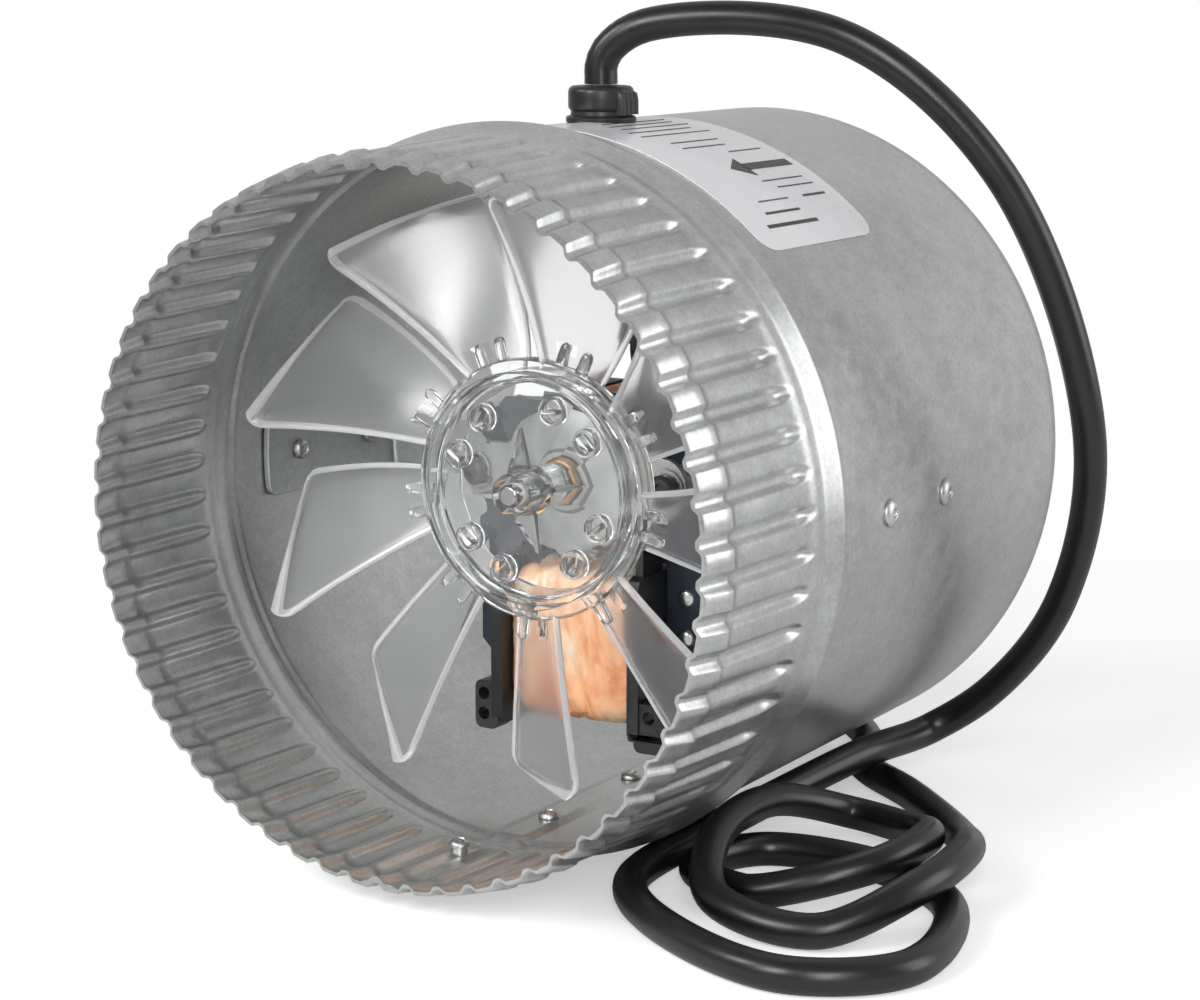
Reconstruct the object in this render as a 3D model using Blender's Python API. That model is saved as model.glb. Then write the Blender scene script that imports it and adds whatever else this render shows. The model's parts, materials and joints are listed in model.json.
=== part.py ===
"""Six-inch inline duct fan: a crimped sheet-metal duct with a shaded-pole motor and a clear impeller.

Metres, +Z up. The duct axis runs along Y: the crimped outlet end faces -Y and the plain inlet end faces +Y.
The fan lies on its side, and the origin is on the surface below the middle of the duct section.
Pieces are built round the duct axis, with stations measured along it from the outlet rim.
"""

import math

import bmesh
import bpy
from mathutils import Vector

MM = 0.001

# Clearance between pieces that touch, how far joined pieces sink in, and how far a cutter runs past its work
GAP = 0.3 * MM
SINK = 0.5 * MM
PAST = 2.0 * MM
CHAMFER = 0.5 * MM

# Duct section
BODY_RADIUS = 76.2 * MM
SHEET = 0.7 * MM
BODY_LENGTH = 160.0 * MM
RIM_RADIUS = 73.8 * MM
RIM_BAND = 8.5 * MM
CRIMP_COUNT = 60
CRIMP_DEPTH = 1.8 * MM
CRIMP_LAND = 0.42
CRIMP_LENGTH = 36.0 * MM
CRIMP_RUNOUT = 3.5 * MM
BEAD_STATION = 46.5 * MM
BEAD_WIDTH = 6.0 * MM
BEAD_HEIGHT = 1.8 * MM
LAP_WIDTH = 8.0 * MM
LAP_ANGLE = math.radians(-91.0)
LAP_EDGE = math.radians(0.15)
SEAM_RIVET_STATIONS = (29.0 * MM, 64.0 * MM, 99.5 * MM, 135.0 * MM)

# Motor bracket strap
STRAP_WIDTH = 19.0 * MM
STRAP_THICKNESS = 1.5 * MM
STRAP_STATION = 110.0 * MM
FLANGE_LENGTH = 50.0 * MM
STRAP_BEND = 1.5 * MM
BRACKET_RIVET_PITCH = 27.0 * MM
RIVET_SHANK = 1.6 * MM
RIVET_HEAD_RADIUS = 3.0 * MM
RIVET_HEAD_HEIGHT = 1.2 * MM
RIVET_TAIL_RADIUS = 2.4 * MM
RIVET_TAIL_HEIGHT = 1.4 * MM

# Motor
STACK_FRONT = 80.0 * MM
STACK_DEPTH = 20.0 * MM
STACK_HALF_WIDTH = 29.0 * MM
STACK_TOP = 18.0 * MM
STACK_LEG = 9.8 * MM
STACK_SHOULDER = 6.0 * MM
STACK_FOOT = 4.0 * MM
STACK_NOTCH = 3.2 * MM
STACK_BRIDGE = 1.6 * MM
STACK_RIVET = 1.4 * MM
STACK_RIVET_DROPS = (7.0 * MM, 16.0 * MM)
POLE_HEIGHT = 18.5 * MM
WINDOW_HEIGHT = 13.3 * MM
BAR_HEIGHT = 13.0 * MM
BAR_CORNER = 0.6 * MM
AIR_GAP = 0.5 * MM
ROTOR_RADIUS = 13.1 * MM
END_RING_DEPTH = 2.6 * MM
END_RING_WIDTH = 3.6 * MM
SHAFT_RADIUS = 2.4 * MM
SHAFT_TIP = 46.0 * MM
SHAFT_TAIL = 107.8 * MM
SHADING_ROD = 1.1 * MM
SHADING_REACH = 1.8 * MM
SHADE_OUTER = (-9.75 * MM, 14.0 * MM)
SHADE_INNER = (-1.5 * MM, 16.7 * MM)

# Winding and its bobbin
COIL_BUILD = 8.8 * MM
COIL_SHRINK = 1.2 * MM
COIL_CORNER = 6.0 * MM
COIL_BORE_CORNER = 0.9 * MM
BOBBIN_WALL = 1.0 * MM
BOBBIN_FLANGE = 2.8 * MM
BOBBIN_LIP = 1.6 * MM
BOBBIN_RIM_CORNER = 2.5 * MM
BOBBIN_TUBE_CORNER = 0.8 * MM
BOBBIN_HOLE_CORNER = 0.4 * MM
LUG_TOP = -14.0 * MM
LUG_X = 17.5 * MM
LUG_BACK = 4.2 * MM
LUG_DEPTH = 3.0 * MM
LUG_DROP = 6.0 * MM
FOOT_LEFT = 4.6 * MM
FOOT_RIGHT = 7.0 * MM
FOOT_HEIGHT = 11.0 * MM
FOOT_DEPTH = 5.0 * MM
FOOT_DROP = 1.5 * MM
FOOT_CORNER = 1.6 * MM
FOOT_HOLE = 1.5 * MM
FOOT_HOLES = ((-1, 2.3 * MM, 3.0 * MM), (-1, 2.3 * MM, 7.6 * MM), (1, 2.4 * MM, 3.0 * MM))
FOOT_SLOT = 1.5 * MM
FOOT_SLOT_HALF = 4.2 * MM
FOOT_SLOT_REACH = 2.0 * MM
FOOT_SLOT_RISE = 3.4 * MM

# Bearing brackets and fasteners
BRACKET_PLATE = 1.8 * MM
BRACKET_STEP = 0.4 * MM
BRACKET_STAND = 8.7 * MM
BRACKET_DISC_RADIUS = 17.5 * MM
BRACKET_ARM_WIDTH = 13.0 * MM
BRACKET_EAR_RADIUS = 4.6 * MM
BRACKET_FRONT_BOSS = 2.0 * MM
BRACKET_INNER_BOSS = 5.0 * MM
BEARING_RADIUS = 5.2 * MM
BEARING_LENGTH = 9.0 * MM
BEARING_POCKET_WALL = 1.6 * MM
SCREW_OFFSET = 24.2 * MM
SCREW_RADIUS = 1.7 * MM
SCREW_HEAD_RADIUS = 3.4 * MM
SCREW_HEAD_HEIGHT = 2.2 * MM
SCREW_SOCKET = 0.9 * MM
SCREW_END = 1.5 * MM
WASHER_RADIUS = 4.3 * MM
WASHER_THICKNESS = 0.7 * MM
GROMMET_RADIUS = 5.0 * MM
GROMMET_NECK = 3.2 * MM
GROMMET_LIP = 1.6 * MM
NUT_FLATS = 6.4 * MM
NUT_HEIGHT = 2.8 * MM
THRUST_RADIUS = 4.2 * MM
THRUST_THICKNESS = 0.8 * MM

# Impeller
BLADE_COUNT = 9
BLADE_PHASE = math.radians(30.0)
BLADE_TIP_RADIUS = 64.0 * MM
BLADE_THICKNESS = 1.4 * MM
BLADE_CUP = 1.0 * MM
BLADE_ROOT_SPREAD = math.radians(28.5)
BLADE_TIP_SPREAD = math.radians(28.5)
BLADE_SWEEP = math.radians(6.5)
BLADE_ROOT_DEPTH = 3.5 * MM
BLADE_TIP_DEPTH = 23.0 * MM
BLADE_ROOT_STATION = 57.7 * MM
BLADE_TIP_STATION = 49.4 * MM
BLADE_TIP_CORNER = 4.0 * MM
HUB_WALL_OUTER = 25.6 * MM
HUB_WALL = 1.9 * MM
HUB_LIP_STATION = 51.5 * MM
HUB_WEB_STATION = 55.0 * MM
HUB_WEB = 1.8 * MM
HUB_REAR_STATION = 64.0 * MM
COLLAR_STATION = 54.4 * MM
COLLAR_RADIUS = 28.2 * MM
COLLAR_DEPTH = 3.6 * MM
BOSS_RADIUS = 4.6 * MM
BOSS_FRONT = 46.8 * MM
BOSS_REAR = 65.0 * MM
GUSSET_COUNT = 4
GUSSET_PHASE = math.radians(9.0)
GUSSET_REACH = 13.7 * MM
GUSSET_THICKNESS = 1.2 * MM
PEG_REACH = 31.8 * MM
PEG_STATION = 56.2 * MM
PEG_SIDE = 1.7 * MM
PEG_SPREAD = math.radians(4.6)
POCKET_CIRCLE = 18.7 * MM
POCKET_RADIUS = 3.1 * MM
POCKET_WALL = 0.7 * MM
POCKET_HEIGHT = 2.2 * MM
POCKET_SPREAD = math.radians(16.0)
POCKET_PHASE = math.radians(54.0)

# Strain relief and label
GLAND_STATION = 84.0 * MM
GLAND_HEIGHT = 7.5 * MM
GLAND_FLANGE = 1.6 * MM
GLAND_FLANGE_RADIUS = 7.6 * MM
GLAND_CAP_RADIUS = 6.6 * MM
GLAND_NECK_RADIUS = 5.6 * MM
GLAND_LATCH_RADIUS = 6.8 * MM
GLAND_LATCH_HEIGHT = 3.5 * MM
GLAND_CHAMFER = 0.6 * MM
GLAND_CROWN = 1.7 * MM
WEDGE_WIDTH = 6.4 * MM
WEDGE_REACH = 1.0 * MM
WEDGE_DROP = 0.8 * MM
WEDGE_GROOVE = (0.9 * MM, 0.35 * MM)
LABEL_THICKNESS = 0.3 * MM
LABEL_FIRST = 57.5 * MM
LABEL_WIDTH = 49.5 * MM
LABEL_HEIGHT = 61.0 * MM
LABEL_LOW = math.radians(44.0)
LABEL_CORNER = 5.0 * MM

# Cord: over the duct, down its side, three loose loops, then a neat coil behind the duct
CORD_RADIUS = 3.6 * MM
LEAD_RADIUS = 1.0 * MM

# (x, station, height above the duct axis) in millimetres, after a straight start above the strain relief
CORD_ARC = [
    (1.5, 84.4, 91.6),
    (10.0, 86.0, 96.8),
    (50.7, 97.0, 94.8),
    (81.5, 111.0, 66.2),
    (97.2, 126.0, 11.1),
    (87.0, 139.0, -29.8),
    (67.3, 147.0, -55.2),
]

# (x, station, lift off the surface) in millimetres
CORD_LOOPS = [
    (53.6, 144.5, 8.8),
    (47.6, 120.0, 7.7),
    (38.6, 94.0, 2.7),
    (34.4, 66.0, 0.0),
    (37.5, 33.5, 0.0),
    (60.0, 12.0, 0.0),
    (88.5, 3.0, 0.0),
    (106.5, 17.0, 0.0),
    (99.5, 53.0, 0.0),
    (76.0, 69.5, 0.0),
    (50.0, 67.5, 0.0),
    (43.6, 50.0, 0.0),
    (60.0, 41.0, 0.0),
    (83.0, 52.0, 6.2),
    (86.4, 70.0, 7.6),
    (71.6, 92.0, 1.6),
    (57.0, 96.5, 1.4),
    (47.6, 78.5, 7.6),
    (49.8, 47.0, 8.2),
    (61.0, 27.0, 2.6),
    (83.5, 26.5, 0.3),
    (96.8, 43.0, 6.6),
    (97.4, 64.0, 7.8),
    (83.4, 93.6, 1.6),
    (61.0, 119.0, 0.0),
    (40.0, 136.5, 0.0),
    (30.8, 158.0, 0.0),
    (11.0, 181.0, 0.0),
    (-1.2, 204.0, 0.0),
    (-3.97, 220.2, 0.0),
]
CORD_END = [
    (-19.4, 243.7, 7.2),
    (-22.0, 252.0, 5.6),
    (-29.0, 262.0, 2.9),
    (-40.0, 268.4, 1.3),
    (-50.0, 270.0, 1.1),
]
COIL_CENTRE = (-52.0 * MM, 210.0 * MM)
COIL_MIDDLE = 38.0 * MM
TIE_PLACE = math.radians(200.0)
TIE_WIDTH = 5.0 * MM
TIE_THICKNESS = 0.8 * MM

# Inside the duct, in the same terms, after a straight run through the strain relief
TAIL_ROUTE = [
    (2.6, 84.5, 56.0),
    (7.0, 85.0, 44.0),
    (9.8, 84.2, 34.0),
    (9.8, 84.2, 31.5),
    (9.8, 84.2, 29.0),
]
LEAD_ROUTE = [
    (13.2, 80.0, 22.5),
    (16.2, 76.6, 16.0),
    (17.2, 75.9, 2.0),
    (17.4, 75.8, -8.0),
]
LEAD_PAIR = 1.4 * MM
LEAD_SPREAD = 0.9 * MM

# Plug
PLUG_LENGTH = 38.0 * MM
PLUG_HALF_HEIGHT = 9.4 * MM
PIN_SPACING = 12.7 * MM
PIN_WIDTH = 6.3 * MM
PIN_THICKNESS = 1.5 * MM
PIN_LENGTH = 17.5 * MM
PIN_RISE = 2.5 * MM
EARTH_RADIUS = 2.4 * MM
EARTH_LENGTH = 20.0 * MM
EARTH_DROP = 4.6 * MM

# (run, half width, half height, corner) in millimetres, each section resting on the surface
PLUG_SECTIONS = (
    (0.0, 4.4, 4.4, 3.6),
    (10.0, 5.2, 5.2, 4.1),
    (13.0, 9.5, 7.0, 4.5),
    (18.0, 12.6, 9.4, 5.4),
    (36.0, 12.6, 9.4, 5.4),
    (38.0, 11.6, 9.2, 4.9),
)

CORNERS = ((1, 1), (-1, 1), (-1, -1), (1, -1))

# Worked out from the values above
FRONT = -BODY_LENGTH / 2
AXIS_HEIGHT = BODY_RADIUS + BEAD_HEIGHT
INNER_RADIUS = BODY_RADIUS - SHEET
BLADE_PITCH = 2 * math.pi / BLADE_COUNT
STACK_REAR = STACK_FRONT + STACK_DEPTH
BAR_TOP = -POLE_HEIGHT - WINDOW_HEIGHT
BAR_BOTTOM = BAR_TOP - BAR_HEIGHT
WINDOW_HALF = STACK_HALF_WIDTH - STACK_LEG
FRONT_BRACKET_FACE = STACK_FRONT - GAP - BRACKET_STAND
REAR_BRACKET_FACE = STRAP_STATION - STRAP_THICKNESS - 2 * GAP - GROMMET_LIP
GLAND_TOP = BODY_RADIUS + GAP + GLAND_HEIGHT


def at(station):
    """The Y of a station measured from the outlet rim."""
    return FRONT + station


def clear_scene():
    for old in list(bpy.data.objects):
        bpy.data.objects.remove(old, do_unlink=True)


def material(name, colour, roughness, metallic=0.0, alpha=1.0):
    made = bpy.data.materials.new(name)
    made.use_nodes = True
    shader = made.node_tree.nodes["Principled BSDF"]
    shader.inputs["Base Color"].default_value = (*colour, 1.0)
    shader.inputs["Roughness"].default_value = roughness
    shader.inputs["Metallic"].default_value = metallic
    shader.inputs["Alpha"].default_value = alpha
    return made


def add_object(name, mesh, surface, parent=None, smooth=30.0):
    made = bpy.data.objects.new(name, mesh)
    bpy.context.scene.collection.objects.link(made)
    mesh.materials.append(surface)
    mesh.shade_smooth()
    mesh.set_sharp_from_angle(angle=math.radians(smooth))
    made.parent = parent
    return made


def finish(name, shape, surface, parent=None):
    """Turns a bmesh into a closed, outward-facing object."""
    bmesh.ops.recalc_face_normals(shape, faces=shape.faces)
    mesh = bpy.data.meshes.new(name)
    shape.to_mesh(mesh)
    shape.free()
    return add_object(name, mesh, surface, parent)


def polar(radius, angle, y):
    return Vector((radius * math.cos(angle), y, radius * math.sin(angle)))


def skin(shape, rings, closed=True):
    """Quads between neighbouring rings of points. Closed also joins the last ring to the first."""
    rows = [[shape.verts.new(point) for point in ring] for ring in rings]
    pairs = list(zip(rows, rows[1:]))
    if closed:
        pairs.append((rows[-1], rows[0]))
    for first, second in pairs:
        for i in range(len(first)):
            j = (i + 1) % len(first)
            shape.faces.new((first[i], first[j], second[j], second[i]))
    return rows


def loft(name, rings, surface, parent=None):
    """A solid skin over rings of points, closed by its first and last ring."""
    shape = bmesh.new()
    rows = skin(shape, rings, closed=False)
    shape.faces.new(rows[0])
    shape.faces.new(rows[-1])
    return finish(name, shape, surface, parent)


def turned(name, profile, surface, parent=None, sides=32, centre=(0.0, 0.0)):
    """A closed profile of (radius, y) turned about the Y axis through centre (x, z)."""
    shape = bmesh.new()
    angles = [2 * math.pi * i / sides for i in range(sides)]
    offset = Vector((centre[0], 0.0, centre[1]))
    skin(shape, [[polar(r, a, y) + offset for a in angles] for r, y in profile])
    return finish(name, shape, surface, parent)


def turned_solid(name, profile, surface, parent=None, sides=24, centre=(0.0, 0.0)):
    """An open profile of (radius, y), turned about the Y axis and capped at both ends."""
    angles = [2 * math.pi * i / sides for i in range(sides)]
    offset = Vector((centre[0], 0.0, centre[1]))
    return loft(name, [[polar(r, a, y) + offset for a in angles] for r, y in profile], surface, parent)


def extruded(name, outline, low, high, surface, parent=None, axis="Y"):
    """A polygon pushed from low to high along an axis. Outline points are the other two coordinates."""
    shape = bmesh.new()

    def place(a, b, along):
        if axis == "Y":
            return Vector((a, along, b))
        if axis == "X":
            return Vector((along, a, b))
        return Vector((a, b, along))

    bottom = [shape.verts.new(place(a, b, low)) for a, b in outline]
    top = [shape.verts.new(place(a, b, high)) for a, b in outline]
    shape.faces.new(bottom)
    shape.faces.new(top)
    for i in range(len(outline)):
        j = (i + 1) % len(outline)
        shape.faces.new((bottom[i], bottom[j], top[j], top[i]))
    return finish(name, shape, surface, parent)


def rounded(half_a, half_b, corner, steps=4, centre=(0.0, 0.0)):
    """Outline of a rectangle with round corners."""
    points = []
    for quarter, (sa, sb) in enumerate(((1, 1), (-1, 1), (-1, -1), (1, -1))):
        for i in range(steps + 1):
            angle = (quarter + i / steps) * math.pi / 2
            points.append(
                (
                    centre[0] + sa * (half_a - corner) + corner * math.cos(angle),
                    centre[1] + sb * (half_b - corner) + corner * math.sin(angle),
                )
            )
    return points


def circle(radius, sides, centre=(0.0, 0.0)):
    step = 2 * math.pi / sides
    turns = [i * step for i in range(sides)]
    return [(centre[0] + radius * math.cos(turn), centre[1] + radius * math.sin(turn)) for turn in turns]


def hide(cutter):
    cutter.hide_render = True
    cutter.display_type = "WIRE"


def combine(body, others, operation="DIFFERENCE"):
    """Cuts the others from the body, or joins them to it, with one exact Boolean."""
    group = bpy.data.collections.new(body.name + "_" + operation.lower())
    bpy.context.scene.collection.children.link(group)
    for other in others:
        other.parent = body.parent
        bpy.context.scene.collection.objects.unlink(other)
        group.objects.link(other)
        hide(other)
    step = body.modifiers.new(operation.title(), "BOOLEAN")
    step.operation = operation
    step.operand_type = "COLLECTION"
    step.collection = group
    step.solver = "EXACT"


# Housing


def crimp_angles():
    """(angle, level, coarse) round the duct: three points for each crimp, and both edges of the lap seam."""
    pitch = 2 * math.pi / CRIMP_COUNT
    shares = ((0.0, 1.0), (CRIMP_LAND, 1.0), (CRIMP_LAND / 2 + 0.5, 0.0), (1.0, 1.0))
    points = []
    for i in range(CRIMP_COUNT):
        points += [((i + share) * pitch, level, share == 0.0) for share, level in shares[:3]]
    half = LAP_WIDTH / BODY_RADIUS / 2
    for centre in (LAP_ANGLE - half, LAP_ANGLE + half):
        for angle in (centre - LAP_EDGE, centre + LAP_EDGE):
            share = angle % pitch / pitch
            for (start, low), (stop, high) in zip(shares, shares[1:]):
                if start <= share < stop:
                    level = low + (high - low) * (share - start) / (stop - start)
            points.append((angle % (2 * math.pi), level, True))
    return sorted(points)


def housing_stations():
    """(station, crest radius, crimp depth) along the outside of the sheet."""
    crimp_end = CRIMP_LENGTH + CRIMP_RUNOUT
    bead_start = BEAD_STATION - BEAD_WIDTH / 2
    bead_end = BEAD_STATION + BEAD_WIDTH / 2
    shoulder = BEAD_WIDTH * 0.3
    neck = BODY_RADIUS - 0.25 * (BODY_RADIUS - RIM_RADIUS)
    return [
        (0.0, RIM_RADIUS, CRIMP_DEPTH * 0.8),
        (RIM_BAND, RIM_RADIUS + 0.2 * (neck - RIM_RADIUS), CRIMP_DEPTH),
        (CRIMP_LENGTH, neck - 0.1 * (neck - RIM_RADIUS), CRIMP_DEPTH * 0.9),
        (crimp_end, neck, 0.0),
        (bead_start, BODY_RADIUS, 0.0),
        (bead_start + shoulder, BODY_RADIUS + BEAD_HEIGHT, 0.0),
        (bead_end - shoulder, BODY_RADIUS + BEAD_HEIGHT, 0.0),
        (bead_end, BODY_RADIUS, 0.0),
        (BODY_LENGTH, BODY_RADIUS, 0.0),
    ]


def crest_at(station):
    """Crest radius and crimp depth of the sheet at one station."""
    known = housing_stations()
    for (low, first, deep), (high, second, flat) in zip(known, known[1:]):
        if low <= station <= high:
            share = (station - low) / (high - low)
            return first + (second - first) * share, deep + (flat - deep) * share


def in_lap(angle):
    turn = (angle - LAP_ANGLE + math.pi) % (2 * math.pi) - math.pi
    return abs(turn) < LAP_WIDTH / BODY_RADIUS / 2


def build_housing(surface, parent):
    """The crimped end needs every angle. Behind it fewer angles carry the bead and the plain wall."""
    angles = crimp_angles()
    coarse = [i for i, point in enumerate(angles) if point[2]]
    shape = bmesh.new()
    walls = []
    for outer in (True, False):
        rows = []
        for station, crest, depth in housing_stations():
            picked = range(len(angles)) if station < CRIMP_LENGTH + CRIMP_RUNOUT * 1.01 else coarse
            ring = []
            for i in picked:
                angle, level = angles[i][:2]
                inset = 0.0 if outer else SHEET * (2 if in_lap(angle) else 1)
                ring.append(shape.verts.new(polar(crest - depth * (1 - level) - inset, angle, at(station))))
            rows.append((list(picked), ring))
        walls.append(rows)
    for rows in walls:
        for (picked, first), (later, second) in zip(rows, rows[1:]):
            for i in range(len(second)):
                j = (i + 1) % len(second)
                if len(picked) == len(later):
                    shape.faces.new((first[i], first[j], second[j]))
                    shape.faces.new((first[i], second[j], second[i]))
                    continue
                stop = later[j] if j else len(picked)
                span = [first[k % len(picked)] for k in range(later[i], stop + 1)]
                shape.faces.new(span + [second[j], second[i]])
    for end in (0, -1):
        outside, inside = walls[0][end][1], walls[1][end][1]
        for i in range(len(outside)):
            j = (i + 1) % len(outside)
            shape.faces.new((outside[i], outside[j], inside[j], inside[i]))
    housing = finish("housing", shape, surface, parent)
    holes = [radial_pin("hole", angle, station, RIVET_SHANK + GAP) for angle, station in rivet_places()]
    holes.append(radial_pin("gland_hole", math.pi / 2, GLAND_STATION, GLAND_NECK_RADIUS + GAP, sides=14))
    combine(housing, holes)
    return housing


def radial_pin(name, angle, station, radius, sides=10, low=None, high=None):
    """A plain cylinder that points away from the duct axis."""
    low = min(INNER_RADIUS, RIM_RADIUS - CRIMP_DEPTH) - 3 * PAST if low is None else low
    high = BODY_RADIUS + 2 * PAST if high is None else high
    return radial_turned(name, angle, station, [(radius, low), (radius, high)], None, None, sides)


def radial_turned(name, angle, station, profile, surface, parent, sides=10):
    """A profile of (radius, distance from the duct axis), turned about a line that leaves that axis."""
    out = Vector((math.cos(angle), 0.0, math.sin(angle)))
    across = Vector((-math.sin(angle), 0.0, math.cos(angle)))
    along = Vector((0.0, 1.0, 0.0))
    turns = [2 * math.pi * i / sides for i in range(sides)]
    rings = []
    for radius, height in profile:
        centre = out * height + along * at(station)
        rings.append([centre + (along * math.cos(turn) + across * math.sin(turn)) * radius for turn in turns])
    return loft(name, rings, surface or cutter_surface(), parent)


def cutter_surface():
    return bpy.data.materials.get("cutter") or material("cutter", (0.5, 0.5, 0.5), 0.5)


def bracket_rivet_places():
    middle = STRAP_STATION - FLANGE_LENGTH / 2
    return [
        (side, middle + end * BRACKET_RIVET_PITCH / 2)
        for side in (0.0, math.pi)
        for end in (-1, 1)
    ]


def seam_rivet_places():
    return [(LAP_ANGLE, station) for station in SEAM_RIVET_STATIONS]


def rivet_places():
    return bracket_rivet_places() + seam_rivet_places()


def build_rivets(surface, parent):
    """Blind rivets: a domed head outside the duct, a shank through the sheets and a set tail inside."""
    kinds = (
        ("bracket_rivet", bracket_rivet_places(), SHEET + GAP + STRAP_THICKNESS),
        ("seam_rivet", seam_rivet_places(), 2 * SHEET),
    )
    for kind, places, grip in kinds:
        for number, (angle, station) in enumerate(places, 1):
            outside = [crest_at(station + end * RIVET_HEAD_RADIUS) for end in (-1, 1)]
            inside = [crest_at(station + end * RIVET_TAIL_RADIUS) for end in (-1, 1)]
            seat = max(crest for crest, _ in outside) + GAP
            tail = min(crest - depth for crest, depth in inside) - grip - GAP
            profile = [
                (RIVET_TAIL_RADIUS * 0.6, tail - RIVET_TAIL_HEIGHT),
                (RIVET_TAIL_RADIUS, tail - RIVET_TAIL_HEIGHT * 0.6),
                (RIVET_TAIL_RADIUS, tail),
                (RIVET_SHANK, tail),
                (RIVET_SHANK, seat),
                (RIVET_HEAD_RADIUS, seat),
                (RIVET_HEAD_RADIUS * 0.75, seat + RIVET_HEAD_HEIGHT * 0.7),
                (RIVET_HEAD_RADIUS * 0.3, seat + RIVET_HEAD_HEIGHT),
            ]
            radial_turned(f"{kind}_{number}", angle, station, profile, surface, parent)


# Motor bracket strap


def build_strap(surface, parent):
    """One strip across the duct, bent forward at both ends into flanges that follow the duct wall."""
    reach = INNER_RADIUS - GAP
    half = STRAP_WIDTH / 2
    front = STRAP_STATION - FLANGE_LENGTH
    shape = bmesh.new()

    def path(side, outer):
        """Corners along one flange and its bend, for the outer or the inner face of the strip."""
        inset = 0.0 if outer else STRAP_THICKNESS
        rear = STRAP_STATION - (0.0 if outer else STRAP_THICKNESS)
        corner = STRAP_BEND + STRAP_THICKNESS - inset
        points = [(front, inset)]
        for i in range(4):
            turn = i / 3 * math.pi / 2
            points.append((rear - corner + corner * math.sin(turn), inset + corner * (1 - math.cos(turn))))
        return [(side, station, depth) for station, depth in points]

    def ring(outer):
        return path(-1, outer) + path(1, outer)[::-1]

    rows = []
    heights = [-half, -half / 2, 0.0, half / 2, half]
    for height in heights:
        row = []
        for outer in (True, False):
            section = ring(outer) if outer else ring(outer)[::-1]
            for side, station, depth in section:
                wall = math.sqrt(reach**2 - height**2)
                x = wall - depth
                row.append(Vector((side * x, at(station), height)))
        rows.append(row)
    made = [[shape.verts.new(point) for point in row] for row in rows]
    for first, second in zip(made, made[1:]):
        for i in range(len(first)):
            j = (i + 1) % len(first)
            shape.faces.new((first[i], first[j], second[j], second[i]))
    shape.faces.new(made[0])
    shape.faces.new(made[-1])
    strap = finish("motor_bracket", shape, surface, parent)
    holes = [
        radial_pin("hole", angle, station, RIVET_SHANK + GAP, low=INNER_RADIUS - 6 * PAST)
        for angle, station in bracket_rivet_places()
    ]
    low = at(STRAP_STATION - STRAP_THICKNESS - PAST)
    high = at(STRAP_STATION + PAST)
    for side in (-1, 1):
        hole = circle(GROMMET_NECK + GAP, 12, (side * SCREW_OFFSET, 0.0))
        holes.append(extruded("grommet_hole", hole, low, high, cutter_surface()))
    combine(strap, holes)
    return strap


# Motor


def drilled(name, outline_radius, hole_radius, low, high, surface, parent, centre, sides=12):
    """A prism with a round hole. outline_radius gives the outside radius at an angle."""
    angles = [2 * math.pi * i / sides for i in range(sides)]
    rings = []
    for y, outer in ((low, True), (high, True), (high, False), (low, False)):
        rings.append(
            [
                polar(outline_radius(a) if outer else hole_radius, a, y) + Vector((centre[0], 0.0, centre[1]))
                for a in angles
            ]
        )
    shape = bmesh.new()
    skin(shape, rings)
    return finish(name, shape, surface, parent)


def stack_outline():
    """Half of the lamination outline on the +X side, from the top notch to the bottom notch."""
    bridge = ROTOR_RADIUS + AIR_GAP + STACK_BRIDGE
    wide = STACK_HALF_WIDTH
    return [
        (STACK_NOTCH, bridge),
        (STACK_NOTCH, STACK_TOP),
        (wide - STACK_SHOULDER, STACK_TOP),
        (wide, STACK_TOP - STACK_SHOULDER),
        (wide, BAR_BOTTOM + STACK_FOOT),
        (wide - STACK_FOOT, BAR_BOTTOM),
        (WINDOW_HALF, BAR_BOTTOM),
        (WINDOW_HALF, -POLE_HEIGHT),
        (STACK_NOTCH, -POLE_HEIGHT),
        (STACK_NOTCH, -bridge),
    ]


def build_stator(surface, parent):
    half = stack_outline()
    outline = half + [(-x, z) for x, z in reversed(half)]
    low, high = at(STACK_FRONT), at(STACK_REAR)
    core = extruded("stator_core", outline, low, high, surface, parent)
    bore = circle(ROTOR_RADIUS + AIR_GAP, 28)
    cutters = [extruded("bore", bore, low - PAST, high + PAST, surface)]
    leg = WINDOW_HALF + STACK_LEG / 2
    holes = []
    for side in (-1, 1):
        holes.append(((side * SCREW_OFFSET, 0.0), SCREW_RADIUS + GAP))
        holes.append(((side * SHADE_OUTER[0], side * SHADE_OUTER[1]), SHADING_ROD + GAP))
        holes += [((side * leg, -POLE_HEIGHT - drop), STACK_RIVET) for drop in STACK_RIVET_DROPS]
    for centre, radius in holes:
        cutters.append(extruded("hole", circle(radius, 8, centre), low - PAST, high + PAST, surface))
    combine(core, cutters)
    bar = rounded(WINDOW_HALF - GAP, BAR_HEIGHT / 2, BAR_CORNER, 1, (0.0, (BAR_TOP + BAR_BOTTOM) / 2))
    extruded("stator_bar", bar, low, high, surface, parent)


def window_ring(half_y, half_z, corner, x):
    """Ring of points round the core bar, at one X."""
    centre = (at((STACK_FRONT + STACK_REAR) / 2), (BAR_TOP + BAR_BOTTOM) / 2)
    return [Vector((x, y, z)) for y, z in rounded(half_y, half_z, corner, 2, centre)]


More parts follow.
